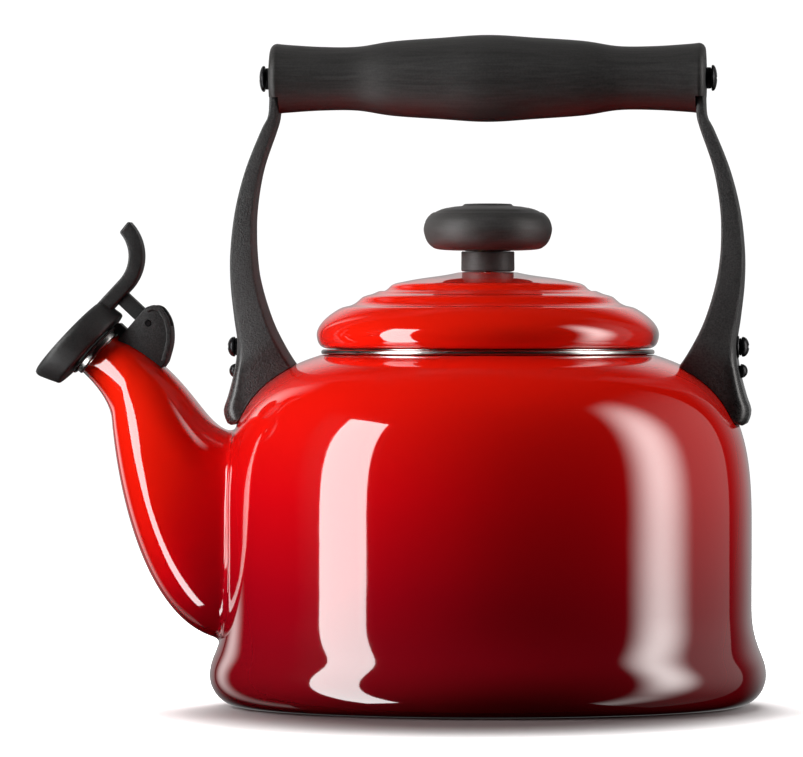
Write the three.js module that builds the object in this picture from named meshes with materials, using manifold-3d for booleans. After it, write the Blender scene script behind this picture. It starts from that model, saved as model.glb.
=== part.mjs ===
// A stovetop whistling kettle, in millimetres, +Z up.
// The origin is the centre of the flat base, on the surface that the kettle stands on.
// The spout points along -X and the handle arches over the lid in the XZ plane.
import * as THREE from "three";
import { mergeVertices } from "three/addons/utils/BufferGeometryUtils.js";
import Module from "manifold-3d";

const wasm = await Module();
wasm.setup();

// ---------------------------------------------------------------- driving dimensions
const gap = 0.3; // between pieces that seat on each other
const roundSteps = 40; // facets round the body and the lid
const smallSteps = 24; // facets round knobs, rings and fasteners

// body
const wall = 1.2; // enamelled steel sheet
const bodyRadius = 90.9;
const bodyHeight = 121.2; // top of the shoulder, under the rim
const flareOut = 5; // the rolled foot stands this far out of the wall
const flareHeight = 11; // widest place of the foot
const waistHeight = 34; // where the flare has run into the straight wall
const shoulderDrop = 57.2; // the wall starts to turn in this far below the rim
const rimRadius = 57.4;
const shoulderSlope = 17; // degrees, where the shoulder meets the rim
const seamWidth = 5; // lap of the base plate on the shell
const seamLift = 0.4; // the shell's seam stands this far off the table

// rim of the filling opening
const rimHeight = 1.8;
const rimWidth = 4;
const rimDrop = 7; // how far the rim's skirt hangs into the neck
const rimWall = 1;

// lid
const lidOverhang = 1.5; // the lid stands this far out over the rim
const lidRise = 26.4; // from the lid's edge to the knob's seat
const lidWall = 1.1;
const lidStepInsets = [26.2, 15.8, 8]; // three pressed rings, in from the lid's edge
const lidStepRises = [22.2, 17.8, 13.9]; // and up from it
const collarDepth = 11; // how far the lid's collar reaches into the neck
const collarClearance = 1;

// knob
const knobRadius = 22.1;
const knobHeight = 16.2;
const knobNeckRadius = 9.2;
const knobNeckHeight = 6.8;
const knobScrewRadius = 2.2;

// spout
const mouthReach = 43.1; // from the body's wall to the middle of the mouth
const mouthRise = 0.3; // the middle of the mouth above the shoulder's top
const mouthTilt = 43; // degrees above the horizontal
const mouthRadius = 9;
const spoutTopDrop = 26.6; // upper outline meets the body this far below the shoulder's top
const spoutBottomZ = 22.6; // lower outline meets the body here
const spoutHalfWidth = 21.5; // at the body
const spoutBulge = 27; // pulls the spout wide in its middle
const kneeIn = 4; // where the lower outline turns down, from the middle of the mouth
const kneeDrop = 24.3;

// spout mouth ring and whistle
const ferruleLength = 3;
const ferruleWall = 0.8;
const capThickness = 9;
const capRadius = 17.2;
const capDrop = 1.2; // the cap's middle below the mouth's axis, so that the lever clears the bracket
const capSkew = 2.4; // the cap's front face sits this much lower than its back face
const whistleRadius = 7.6;
const whistleHoleRadius = 1.5;
const leverThickness = 5;
const leverWidth = 10;
const leverArcRadius = 14.6;
const hingeBack = 5.2; // hinge pin behind the mouth plane
const hingeUp = 19.3; // hinge pin above the mouth's axis
const hingePinRadius = 1.1;
const housingWidth = 12.4;
const cheekWidth = 2.2;
const springWire = 0.35;
const springRadius = 2.1;
const springTurns = 3;

// handle
const gripRise = 95.2; // grip's axis above the shoulder's top
const gripLength = 150.2;
const gripMiddleRadius = 15;
const gripWaistRadius = 10.9;
const gripEndRadius = 12.1;
const gripWaistPlace = 50; // from the middle
const armTopWidth = 14.5;
const armFootWidth = 30; // level with the shoulder's top
const armTaper = 0.82; // share of the arm's height over which it narrows
const tabThickness = 3;
const tabRise = 6.5; // above the grip's axis
const armEdge = 1.2; // rounding along the arm's edges

// fasteners
const shankRadius = 2;
const gripScrewHeadRadius = 4.5;
const gripScrewHeadHeight = 1.9;
const gripWasherRadius = 3.7;
const gripWasherHeight = 1.7;
const gripInsertRadius = 3.6;
const gripInsertLength = 14;
const studRise = 6; // the locating stud above the shoulder, where the lug meets it
const screwRise = 8.3; // the handle screw above the stud
const handleScrewHeadRadius = 3.45;
const handleScrewHeadHeight = 2.6;
const handleWasherRadius = 3.8;
const handleWasherHeight = 0.9;
const lockWasherRadius = 3;
const lockWasherHeight = 0.7;
const screwSeatDepth = 0.3; // flat seat for the washer, cut into the arm
const studRadius = 1.9;
const studHeadRadius = 2.4;
const lugInset = 12.9; // inner face of the welded lug, in from the body's wall
const lugThickness = 3;
const lugWidth = 14;
const lugAboveScrew = 5.3;
const lugBossRadius = 4.6;
const lugBossLength = 3;

// ---------------------------------------------------------------- what follows from them
const flareRadius = bodyRadius + flareOut;
const lidRadius = rimRadius + lidOverhang;
const lidEdge = bodyHeight + rimHeight + gap; // the lid's skirt rests here
const lidTopHeight = lidEdge + lidRise;
const mouthX = -(bodyRadius + mouthReach);
const mouthZ = bodyHeight + mouthRise;
const gripHeight = bodyHeight + gripRise;
const lugX = bodyRadius - lugInset;

// ---------------------------------------------------------------- materials
const enamel = new THREE.MeshStandardMaterial({ color: 0xc3060d, roughness: 0.12, metalness: 0 });
const darkEnamel = new THREE.MeshStandardMaterial({ color: 0x17120f, roughness: 0.25, metalness: 0 });
const steel = new THREE.MeshStandardMaterial({ color: 0xc9c6c2, roughness: 0.2, metalness: 1 });
const blackSteel = new THREE.MeshStandardMaterial({ color: 0x181818, roughness: 0.35, metalness: 0.6 });
const brass = new THREE.MeshStandardMaterial({ color: 0xb8923f, roughness: 0.35, metalness: 1 });
const phenolic = new THREE.MeshStandardMaterial({ color: 0x1d1b1a, roughness: 0.5, metalness: 0 });
const texturedBlack = new THREE.MeshStandardMaterial({ color: 0x242322, roughness: 0.65, metalness: 0 });

// ---------------------------------------------------------------- making and cutting solids
const degrees = Math.PI / 180;
const turned = (g) => g.rotateX(Math.PI / 2); // a lathe's own axis is Y; the kettle's is Z
const alongX = (g) => g.rotateY(Math.PI / 2); // from Z to +X

function solid(geometry) {
  const bare = geometry.index ? geometry.toNonIndexed() : geometry.clone();
  bare.deleteAttribute("normal");
  bare.deleteAttribute("uv");
  const merged = mergeVertices(bare, 1e-4);
  const mesh = new wasm.Mesh({
    numProp: 3,
    vertProperties: merged.attributes.position.array,
    triVerts: new Uint32Array(merged.index.array),
  });
  return new wasm.Manifold(mesh);
}

function geometryOf(made) {
  const mesh = made.getMesh();
  const positions = new Float32Array(mesh.numVert * 3);
  for (let i = 0; i < mesh.numVert; i++)
    positions.set(mesh.vertProperties.subarray(i * mesh.numProp, i * mesh.numProp + 3), i * 3);
  return new THREE.BufferGeometry()
    .setAttribute("position", new THREE.BufferAttribute(positions, 3))
    .setIndex(new THREE.BufferAttribute(mesh.triVerts, 1));
}

const cut = (base, ...tools) => geometryOf(tools.reduce((s, t) => s.subtract(solid(t)), solid(base)));
const join = (...pieces) => geometryOf(pieces.map(solid).reduce((a, b) => a.add(b)));

// A closed [radius, height] outline turned about Z. Its area sets which way it runs.
function turn(outline, steps = smallSteps) {
  const points = outline.map(([r, z]) => new THREE.Vector2(r, z));
  const onAxis = points[0].x === 0 && points.at(-1).x === 0;
  if (THREE.ShapeUtils.isClockWise(points)) points.reverse();
  if (!onAxis) points.push(points[0].clone());
  return turned(new THREE.LatheGeometry(points, steps));
}

const tube = (inner, outer, low, high, steps = 16) =>
  turn([[inner, low], [outer, low], [outer, high], [inner, high]], steps);
const rod = (radius, low, high, steps) => turn([[0, low], [radius, low], [radius, high], [0, high]], steps);

function box(x0, x1, y0, y1, z0, z1) {
  return new THREE.BoxGeometry(x1 - x0, y1 - y0, z1 - z0)
    .translate((x0 + x1) / 2, (y0 + y1) / 2, (z0 + z1) / 2);
}

// The same outline moved sideways by distance, to the left of its direction of travel.
function offset(points, distance) {
  return points.map((p, i) => {
    const before = points[Math.max(i - 1, 0)];
    const after = points[Math.min(i + 1, points.length - 1)];
    const along = after.clone().sub(before).normalize();
    return new THREE.Vector2(p.x - along.y * distance, p.y + along.x * distance);
  });
}

const pairs = (points) => points.map((p) => [p.x, p.y]);

// A closed skin through rings of points, with a flat fan on each end.
function loft(rings) {
  const count = rings[0].length;
  const positions = rings.flat().flatMap((p) => [p.x, p.y, p.z]);
  const middle = (ring) => ring.reduce((s, p) => s.add(p), new THREE.Vector3()).divideScalar(count);
  const first = middle(rings[0]);
  const last = middle(rings.at(-1));
  positions.push(first.x, first.y, first.z, last.x, last.y, last.z);
  const firstIndex = rings.length * count;
  const index = [];
  for (let j = 0; j < count; j++) {
    const k = (j + 1) % count;
    for (let i = 0; i + 1 < rings.length; i++) {
      const [a, b, c, d] = [i * count + j, i * count + k, (i + 1) * count + k, (i + 1) * count + j];
      index.push(a, b, c, a, c, d);
    }
    const end = (rings.length - 1) * count;
    index.push(firstIndex, k, j, firstIndex + 1, end + j, end + k);
  }
  return new THREE.BufferGeometry()
    .setAttribute("position", new THREE.Float32BufferAttribute(positions, 3))
    .setIndex(index);
}

// ---------------------------------------------------------------- assembly groups
const kettle = new THREE.Group();
const mouth = new THREE.Group(); // its +Z is the spout mouth's axis and its +X points up and back
mouth.position.set(mouthX, 0, mouthZ);
mouth.rotation.y = -(90 - mouthTilt) * degrees;
kettle.add(mouth);
mouth.updateMatrix();
const intoMouthFrame = mouth.matrix.clone().invert();

function part(name, geometry, material, group = kettle) {
  const mesh = new THREE.Mesh(geometry, material);
  mesh.name = name;
  group.add(mesh);
}

// ---------------------------------------------------------------- body
// Outside of the shell from its seam under the base to the rim.
function bodyOutline() {
  const footRadius = flareRadius - (flareHeight - seamLift);
  const foot = new THREE.Path().moveTo(footRadius - seamWidth, seamLift).lineTo(footRadius, seamLift);
  foot.absarc(footRadius, flareHeight, flareRadius - footRadius, -Math.PI / 2, 0);
  const flare = new THREE.CubicBezierCurve(
    new THREE.Vector2(flareRadius, flareHeight),
    new THREE.Vector2(flareRadius, flareHeight + 7),
    new THREE.Vector2(bodyRadius + 0.1, waistHeight - 13.5),
    new THREE.Vector2(bodyRadius, waistHeight),
  );
  const lean = 28;
  const shoulder = new THREE.CubicBezierCurve(
    new THREE.Vector2(bodyRadius, bodyHeight - shoulderDrop),
    new THREE.Vector2(bodyRadius, bodyHeight - shoulderDrop * 0.44),
    new THREE.Vector2(rimRadius + lean, bodyHeight - lean * Math.tan(shoulderSlope * degrees)),
    new THREE.Vector2(rimRadius, bodyHeight),
  );
  return [...foot.getPoints(3).slice(0, -1), ...flare.getPoints(4), ...shoulder.getPoints(7)];
}

const filledBody = (grow) => {
  const points = offset(bodyOutline(), -grow);
  points[0].y = -grow;
  return turn([[0, points[0].y], ...pairs(points), [0, points.at(-1).y]], roundSteps);
};

// ---------------------------------------------------------------- spout
const mouthAxis = new THREE.Vector2(-Math.cos(mouthTilt * degrees), Math.sin(mouthTilt * degrees));
const mouthUp = new THREE.Vector2(mouthAxis.y, -mouthAxis.x);
const mouthCentre = new THREE.Vector2(mouthX, mouthZ);

const upperOutline = (() => {
  const start = mouthCentre.clone().addScaledVector(mouthUp, mouthRadius);
  const end = new THREE.Vector2(-bodyRadius + 5, bodyHeight - spoutTopDrop);
  const reach = end.clone().sub(start);
  return new THREE.CubicBezierCurve(
    start,
    start.clone().add(new THREE.Vector2(0.676 * reach.x, 0.436 * reach.y)),
    end.clone().add(new THREE.Vector2(-0.32 * reach.x, 0.018 * reach.y)),
    end,
  );
})();

const lowerOutline = (() => {
  const start = mouthCentre.clone().addScaledVector(mouthUp, -mouthRadius);
  const knee = new THREE.Vector2(mouthX + kneeIn, mouthZ - kneeDrop);
  const end = new THREE.Vector2(-bodyRadius + 5, spoutBottomZ);
  const fall = end.clone().sub(knee);
  const path = new THREE.CurvePath();
  path.add(new THREE.CubicBezierCurve(
    start,
    start.clone().addScaledVector(mouthAxis, -6.4),
    knee.clone().add(new THREE.Vector2(0, 6.75)),
    knee,
  ));
  path.add(new THREE.CubicBezierCurve(
    knee,
    knee.clone().add(new THREE.Vector2(0.033 * fall.x, 0.236 * fall.y)),
    end.clone().add(new THREE.Vector2(-0.756 * fall.x, 0.026 * fall.y)),
    end,
  ));
  return path;
})();

// The spout is tall near the body, so its section there is two half rounds joined by nearly flat sides.
function spoutRing(t, inset, shift = 0) {
  const top = upperOutline.getPointAt(t);
  const bottom = lowerOutline.getPointAt(t);
  const middle = top.clone().add(bottom).multiplyScalar(0.5).addScaledVector(mouthAxis, shift);
  const rise = top.clone().sub(bottom);
  const halfHeight = rise.length() / 2 - inset;
  rise.normalize();
  const u = 1 - t;
  const halfWidth = u * u * u * mouthRadius + (3 * u * u * t + t * t * t) * spoutHalfWidth
    + 3 * u * t * t * spoutBulge - inset;
  const flat = Math.max(halfHeight - halfWidth, 0);
  const ring = [];
  for (let j = 0; j < smallSteps; j++) {
    const angle = (j / smallSteps) * 2 * Math.PI;
    const c = Math.cos(angle);
    const onFlat = Math.sin((Math.PI / 2) * Math.min(Math.max(c / 0.25, -1), 1));
    const up = c * (halfHeight - flat) + onFlat * flat;
    const side = Math.sin(angle) * halfWidth;
    ring.push(new THREE.Vector3(middle.x + rise.x * up, side, middle.y + rise.y * up));
  }
  return ring;
}

function spoutSolid(inset, reach = 0) {
  const stations = 12;
  const rings = [];
  for (let i = stations; i >= 0; i--) rings.push(spoutRing(i / stations, inset));
  if (reach) rings.push(spoutRing(0, inset, reach));
  return loft(rings);
}

const spoutBore = spoutSolid(wall, 2);
part("spout", cut(spoutSolid(0), spoutBore, filledBody(gap)), enamel);

const shellOutside = bodyOutline();
const shellInside = offset(shellOutside, wall);
part(
  "body_shell",
  cut(turn(pairs([...shellOutside, ...shellInside.reverse()]), roundSteps), spoutBore),
  enamel,
);

// The base is a shallow pan: its rim laps on the shell's seam, and its middle stands on the table.
function basePlate() {
  const seamInner = flareRadius - (flareHeight - seamLift) - seamWidth;
  const floor = seamInner - 1;
  const lap = seamInner + seamWidth;
  const ledge = seamLift + wall + gap;
  return turn([
    [0, 0], [floor - 1, 0], [floor, ledge], [lap, ledge], [lap, ledge + wall], [floor - 1.6, ledge + wall],
    [floor - 2.4, wall], [0, wall],
  ], roundSteps);
}
part("base_plate", basePlate(), darkEnamel);

// Folded steel rim that covers the cut edge of the shoulder and hangs into the neck.
function rimRing() {
  const top = bodyHeight + rimHeight;
  const inner = rimRadius - rimWidth;
  return turn([
    [inner, bodyHeight - rimDrop],
    [inner + rimWall, bodyHeight - rimDrop],
    [inner + rimWall, bodyHeight + gap],
    [rimRadius, bodyHeight + gap],
    [rimRadius, top - 0.4],
    [rimRadius - 0.4, top],
    [inner, top],
  ], roundSteps);
}
part("rim_ring", rimRing(), steel);

// ---------------------------------------------------------------- lid
const collarRadius = rimRadius - rimWidth - collarClearance;

// Outside of the lid from the knob's seat, down three rings, to the rolled edge of the skirt.
function lidOutline() {
  const [r1, r2, r3] = lidStepInsets.map((inset) => lidRadius - inset);
  const [z1, z2, z3] = lidStepRises.map((rise) => lidEdge + rise);
  const steps = [
    [knobScrewRadius + gap, lidTopHeight],
    [knobNeckRadius, lidTopHeight],
    [r1 - 1, z1 + 0.2],
    [r1 + 1.6, z1 - 1.3],
    [r1 + 4.6, z2 + 1.9],
    [r2 - 0.8, z2 + 0.3],
    [r2 + 1, z2 - 0.7],
    [r3 - 4, z3 + 0.9],
    [r3 - 0.6, z3 + 0.2],
  ].map(([r, z]) => new THREE.Vector2(r, z));
  const skirt = new THREE.CubicBezierCurve(
    new THREE.Vector2(r3 + 0.6, z3 - 0.2),
    new THREE.Vector2(lidRadius - 2.2, z3 - 3.4),
    new THREE.Vector2(lidRadius + 0.6, lidEdge + 7),
    new THREE.Vector2(lidRadius, lidEdge + 4),
  ).getPoints(3);
  const roll = new THREE.QuadraticBezierCurve(
    new THREE.Vector2(lidRadius, lidEdge + 4),
    new THREE.Vector2(lidRadius - 0.3, lidEdge + 0.2),
    new THREE.Vector2(lidRadius - 4, lidEdge),
  ).getPoints(2).slice(1);
  return [...steps, ...skirt, ...roll];
}

function lidShell() {
  const outside = lidOutline();
  const inside = offset(outside, -lidWall);
  inside[0].set(outside[0].x, outside[0].y - lidWall);
  const end = outside.at(-1);
  inside.splice(-1, 1, new THREE.Vector2(end.x, end.y + lidWall));
  return turn(pairs([...outside, ...inside.reverse()]), roundSteps);
}
part("lid_shell", lidShell(), enamel);

// Steel collar that locates the lid in the neck. Its flange sits on the rolled edge inside the skirt.
function lidCollar() {
  const flangeLow = lidEdge + lidWall + gap;
  const flange = lidRadius - 3.4;
  const low = bodyHeight + rimHeight - collarDepth;
  return turn([
    [collarRadius - 1, low], [collarRadius, low], [collarRadius, flangeLow], [flange, flangeLow],
    [flange, flangeLow + 1], [collarRadius - 1, flangeLow + 1],
  ], roundSteps);
}
part("lid_collar", lidCollar(), steel);

// ---------------------------------------------------------------- knob
const knobBase = lidTopHeight + gap + knobNeckHeight + gap;
const insertRadius = knobScrewRadius + 1.6;

function knob() {
  const [r, h, z] = [knobRadius, knobHeight, knobBase];
  const bore = insertRadius + gap;
  const side = new THREE.SplineCurve([
    new THREE.Vector2(knobNeckRadius + 2, z),
    new THREE.Vector2(r - 5, z + h * 0.03),
    new THREE.Vector2(r - 1.2, z + h * 0.19),
    new THREE.Vector2(r, z + h * 0.42),
    new THREE.Vector2(r - 0.9, z + h * 0.65),
    new THREE.Vector2(r - 3.7, z + h * 0.82),
  ]).getPoints(10);
  const crown = [[r - 7.8, z + h * 0.91], [r - 12.7, z + h * 0.955], [r - 14.2, z + h], [0, z + h]];
  return turn([[0, z + 9], [bore, z + 9], [bore, z], ...pairs(side), ...crown]);
}
part("knob", knob(), phenolic);
part(
  "knob_neck",
  turn([
    [insertRadius + gap, lidTopHeight + gap],
    [knobNeckRadius - 0.5, lidTopHeight + gap],
    [knobNeckRadius, lidTopHeight + gap + 0.6],
    [knobNeckRadius, knobBase - gap],
    [insertRadius + gap, knobBase - gap],
  ]),
  phenolic,
);
part("knob_insert", tube(knobScrewRadius + gap, insertRadius, lidTopHeight + gap + 1, knobBase + 8.5), brass);
const lidUnderside = lidTopHeight - lidWall;
part("knob_washer", tube(knobScrewRadius + gap, 6, lidUnderside - gap - 1, lidUnderside - gap), steel);
const knobScrewSeat = lidUnderside - 2 * gap - 1; // under the washer
part(
  "knob_screw",
  turn([
    [0, knobScrewSeat - 2.2],
    [3, knobScrewSeat - 2.2],
    [4.2, knobScrewSeat - 1.2],
    [4.2, knobScrewSeat],
    [knobScrewRadius, knobScrewSeat],
    [knobScrewRadius, knobBase + 8],
    [0, knobBase + 8],
  ]),
  steel,
);

// ---------------------------------------------------------------- spout mouth ring
// In the mouth group, +Z runs out of the mouth and +X points up and back.
const ferruleOuter = mouthRadius + 0.7;
const ferruleInner = mouthRadius - wall - gap - ferruleWall;
part(
  "spout_ferrule",
  turn([
    [ferruleInner, -6],
    [ferruleInner + ferruleWall, -6],
    [ferruleInner + ferruleWall, gap],
    [ferruleOuter - 0.3, gap],
    [ferruleOuter, gap + 0.4],
    [ferruleOuter, ferruleLength],
    [ferruleOuter - 0.5, ferruleLength + 0.3],
    [ferruleInner, ferruleLength + 0.3],
  ]),
  steel,
  mouth,
);

// An outline in the mouth group's XZ plane, given as [up, out] pairs, made as wide as width along Y.
function slab(outline, width, edge = 0) {
  const shape = new THREE.Shape(outline.map(([up, out]) => new THREE.Vector2(up, out)));
  const depth = width - 2 * edge;
  return new THREE.ExtrudeGeometry(shape, {
    depth,
    steps: 1,
    bevelEnabled: edge > 0,
    bevelSize: edge,
    bevelOffset: -edge,
    bevelThickness: edge,
    bevelSegments: 1,
  })
    .translate(0, 0, -depth / 2)
    .rotateX(Math.PI / 2);
}

const hingeCross = (radius, halfLength) =>
  new THREE.CylinderGeometry(radius, radius, 2 * halfLength, 16).translate(hingeUp, 0, -hingeBack);

// Moulded bracket: a thin ring round the ferrule, a nose over it, and a housing with two cheeks for the pin.
// The housing's outline is set out from the hinge's axis, along the mouth's up and out directions.
function whistleBracket() {
  const ringInner = ferruleOuter + gap;
  const ring = tube(ringInner, ringInner + 1.2, ferruleLength - 0.9, ferruleLength);
  const noseTop = ringInner + 2.4;
  const nose = slab(
    [
      [ringInner - 1, -1.7],
      [noseTop, -1.7],
      [noseTop, ferruleLength - 0.6],
      [noseTop - 0.8, ferruleLength],
      [ringInner - 1, ferruleLength],
    ],
    9,
  );
  const fromHinge = ([up, out]) => new THREE.Vector2(hingeUp + up, out - hingeBack);
  const back = new THREE.SplineCurve(
    [[3.3, 4.3], [6.1, 2.6], [6.9, -0.4], [5.1, -5.4], [0.5, -10.2], [-5.7, -13.6]].map(fromHinge),
  ).getPoints(9);
  const front = [[-13.3, 3.8], [1.7, 4.3]].map(fromHinge);
  const floor = [[-8.3, -14], [-15.3, -8.8]].map(fromHinge);
  const housing = slab(pairs([...front, ...back, ...floor]), housingWidth, 0.8);
  const swingWidth = housingWidth / 2 - cheekWidth;
  const swing = box(hingeUp - 3.7, hingeUp + 11, -swingWidth, swingWidth, -hingeBack - 6.2, 4);
  const springRoom = box(hingeUp - 6.7, hingeUp - 2.3, -2.4, 2.4, -hingeBack - 4.4, -hingeBack + 3.3);
  return cut(
    join(ring, nose, housing),
    swing,
    springRoom,
    hingeCross(hingePinRadius + gap, housingWidth),
    rod(ringInner, -2.2, ferruleLength + 2),
    spoutSolid(-gap).applyMatrix4(intoMouthFrame),
  );
}
part("whistle_bracket", whistleBracket(), texturedBlack, mouth);
part("hinge_pin", hingeCross(hingePinRadius, housingWidth / 2 - 0.2), steel, mouth);

// ---------------------------------------------------------------- whistle cap, lever and link
const capBack = ferruleLength + 2 * gap;
const capFront = capBack + capThickness;
const linkHalfWidth = housingWidth / 2 - cheekWidth - gap;

function capRing(radius, drop, out) {
  const ring = [];
  for (let j = 0; j < 32; j++) {
    const angle = (j / 32) * 2 * Math.PI;
    ring.push(new THREE.Vector3(radius * Math.cos(angle) - capDrop - drop, radius * Math.sin(angle), out));
  }
  return ring;
}

function whistleCap() {
  const cap = loft([
    capRing(capRadius - 1.8, 0.1, capBack),
    capRing(capRadius - 0.8, 0.3, capBack + 0.9),
    capRing(capRadius, 0.75 * capSkew, capFront - 2.2),
    capRing(capRadius - 0.2, 0.95 * capSkew, capFront - 0.8),
    capRing(capRadius - 1.4, capSkew, capFront),
  ]);
  const [inner, outer] = [leverArcRadius - leverThickness / 2, leverArcRadius + leverThickness / 2];
  const foot = 11.2; // the lever grows out of the cap's upper edge
  const bend = 23.2;
  const arcOut = capBack + 6.4 + leverArcRadius;
  const sweep = (radius, from, to) => Array.from({ length: 9 }, (_, i) => {
    const angle = (from + ((to - from) * i) / 8) * degrees;
    return [bend + radius * Math.sin(angle), arcOut - radius * Math.cos(angle)];
  });
  const lever = slab(
    [[foot, arcOut - inner], ...sweep(inner, 0, 86), ...sweep(outer, 88, 0), [foot, arcOut - outer]],
    leverWidth,
    0.8,
  );
  const half = leverThickness / 2;
  const linkEnd = Array.from({ length: 7 }, (_, i) => {
    const angle = (180 + 30 * i) * degrees;
    return [hingeUp + half * Math.cos(angle), -hingeBack + half * Math.sin(angle)];
  });
  const linkOut = arcOut - inner - 1; // the link runs into the lever's root
  const link = slab([...linkEnd, [hingeUp + half, linkOut], [hingeUp - half, linkOut]], 2 * linkHalfWidth);
  const springSlot = box(hingeUp - 4, hingeUp + 4, -2.1, 2.1, -hingeBack - 4, -hingeBack + 3.4);
  return cut(
    join(cap, lever, link),
    springSlot,
    hingeCross(hingePinRadius + gap, housingWidth),
    rod(whistleRadius + gap, capBack - 1, capBack + 4),
    rod(whistleRadius - 2, capBack, capFront + 1),
  );
}
part("whistle_cap", whistleCap(), texturedBlack, mouth);
const whistlePlate = (low) => tube(whistleHoleRadius, whistleRadius, low, low + 0.7);
part("whistle_plate_inner", whistlePlate(capBack + 0.2), steel, mouth);
part("whistle_spacer", tube(whistleRadius - 1.2, whistleRadius, capBack + 1.1, capBack + 2.6), steel, mouth);
part("whistle_plate_outer", whistlePlate(capBack + 2.8), steel, mouth);

// Torsion spring round the hinge pin. One leg bears under the link and the other on the housing's floor.
function hingeSpring() {
  const points = [new THREE.Vector3(hingeUp - springRadius, -1.5, -hingeBack + 3)];
  const perTurn = 10;
  for (let i = 0; i <= springTurns * perTurn + perTurn / 4; i++) {
    const angle = (i / perTurn) * 2 * Math.PI;
    points.push(new THREE.Vector3(
      hingeUp - springRadius * Math.cos(angle),
      -1.5 + (3 * i) / (springTurns * perTurn + perTurn / 4),
      -hingeBack - springRadius * Math.sin(angle),
    ));
  }
  points.push(new THREE.Vector3(hingeUp - 5.2, 1.5, -hingeBack - springRadius - 0.4));
  const section = new THREE.Shape(Array.from({ length: 6 }, (_, i) =>
    new THREE.Vector2(springWire * Math.cos((i * Math.PI) / 3), springWire * Math.sin((i * Math.PI) / 3))));
  return new THREE.ExtrudeGeometry(section, {
    steps: 48, bevelEnabled: false, extrudePath: new THREE.CatmullRomCurve3(points, false, "centripetal"),
  });
}
part("hinge_spring", hingeSpring(), steel, mouth);

// ---------------------------------------------------------------- handle arms
// A point of the arm's side view: share 0 is at the top of the body's wall and share 1 at the grip's end,
// and the point lies out and up from there.
function armPoint([share, out, up]) {
  const x = bodyRadius + share * (gripLength / 2 - bodyRadius) + out;
  return new THREE.Vector2(x, bodyHeight + share * gripRise + up);
}

// Outer edge of the rear arm, from the grip's end face down to the heel.
const armOuter = new THREE.SplineCurve([
  [1, 0, -8.4], [1, 0.5, -13.4], [1, 2.8, -17.9], [0.67, 2.9, 0.2], [0.53, 4.2, -0.3],
  [0.38, 3.4, 0.2], [0.26, 1.4, 0], [0.13, -2, 0.4], [0, -5.2, 4.8], [0, -4.9, -1.2],
  [0, -3.7, -7.7], [0, -1.9, -14.2], [0, -0.4, -18.8], [0, -1.1, -22.4], [0, -2.6, -24.2],
].map(armPoint)).getPoints(28);

// Inner edge, from the toe on the shoulder up to the grip's slot.
const armInner = new THREE.SplineCurve([
  [0, -26.2, -5.6], [0, -21.1, 1.9], [0.13, -14, -0.2], [0.27, -7.8, 0.1], [0.41, -3.95, -0.2],
  [0.53, -2.25, -0.3], [0.67, -2.4, 0.2], [1, -1.7, -17.9], [1, -tabThickness, -12.9],
  [1, -tabThickness, -8.4],
].map(armPoint)).getPoints(18);

// The first outline point is the highest. Returns where a falling outline passes a height.
function reachAt(points, height) {
  const i = points.findIndex((p) => p.y < height);
  const [a, b] = [points[i - 1], points[i]];
  return a.x + ((b.x - a.x) * (a.y - height)) / (a.y - b.y);
}

// Height of the shoulder at a radius.
function shoulderAt(radius) {
  const points = bodyOutline().reverse();
  const i = points.findIndex((p) => p.x > radius);
  const [a, b] = [points[i - 1], points[i]];
  return a.y + ((b.y - a.y) * (radius - a.x)) / (b.x - a.x);
}

const studHeight = shoulderAt(lugX) + studRise;
const handleScrewHeight = studHeight + screwRise;
const handleSeatX = reachAt(armOuter, handleScrewHeight) - screwSeatDepth;
const studSeatX = reachAt(armOuter, studHeight) + gap;

// Side view of the arm. It runs on below the shoulder, where the body's own shape trims it.
function armOutline() {
  const buried = [[0, -6, -23.4], [0, -20.9, -19.2], [0, -30.9, -11.2]].map(armPoint);
  const tab = [[1, -tabThickness, tabRise], [1, 0, tabRise]].map(armPoint);
  return pairs([...armOuter, ...buried, ...armInner, ...tab]);
}

// Width of the arm along Y: narrow under the grip, flared like a fishtail, and straight-sided at the foot.
function armWidth(z) {
  const share = (z - bodyHeight) / gripRise / armTaper;
  return armTopWidth + (armFootWidth - armTopWidth) * Math.min(Math.max(1 - share, 0), 1) ** 1.8;
}

function lugBlock(grow) {
  const top = handleScrewHeight + lugAboveScrew + grow;
  const side = lugWidth / 2 + grow;
  const plate = box(lugX - grow, lugX + lugThickness + grow, -side, side, bodyHeight - 31, top);
  const boss = alongX(rod(lugBossRadius + grow, lugX - lugBossLength - grow, lugX + 0.5, 16));
  return join(plate, boss.translate(0, 0, handleScrewHeight));
}

function arm() {
  const strap = slab(armOutline(), armTopWidth, armEdge);
  const place = strap.attributes.position;
  for (let i = 0; i < place.count; i++)
    place.setY(i, (place.getY(i) * armWidth(place.getZ(i))) / armTopWidth);
  const slotWidth = lugBossRadius + gap;
  const outside = bodyRadius + 10;
  return cut(
    strap,
    filledBody(gap + 0.1),
    lugBlock(gap),
    box(lugX - lugBossLength - gap, lugX, -slotWidth, slotWidth, bodyHeight - 31, handleScrewHeight),
    alongX(rod(shankRadius + gap, lugX, outside, 16)).translate(0, 0, handleScrewHeight),
    alongX(rod(handleWasherRadius + 0.6, handleSeatX, outside, 16)).translate(0, 0, handleScrewHeight),
    alongX(rod(studRadius + gap, lugX, outside, 16)).translate(0, 0, studHeight),
    alongX(rod(studHeadRadius + gap, studSeatX - gap, outside, 16)).translate(0, 0, studHeight),
    alongX(rod(shankRadius + gap, gripLength / 2 - 15, gripLength / 2 + 15, 16)).translate(0, 0, gripHeight),
  );
}

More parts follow.
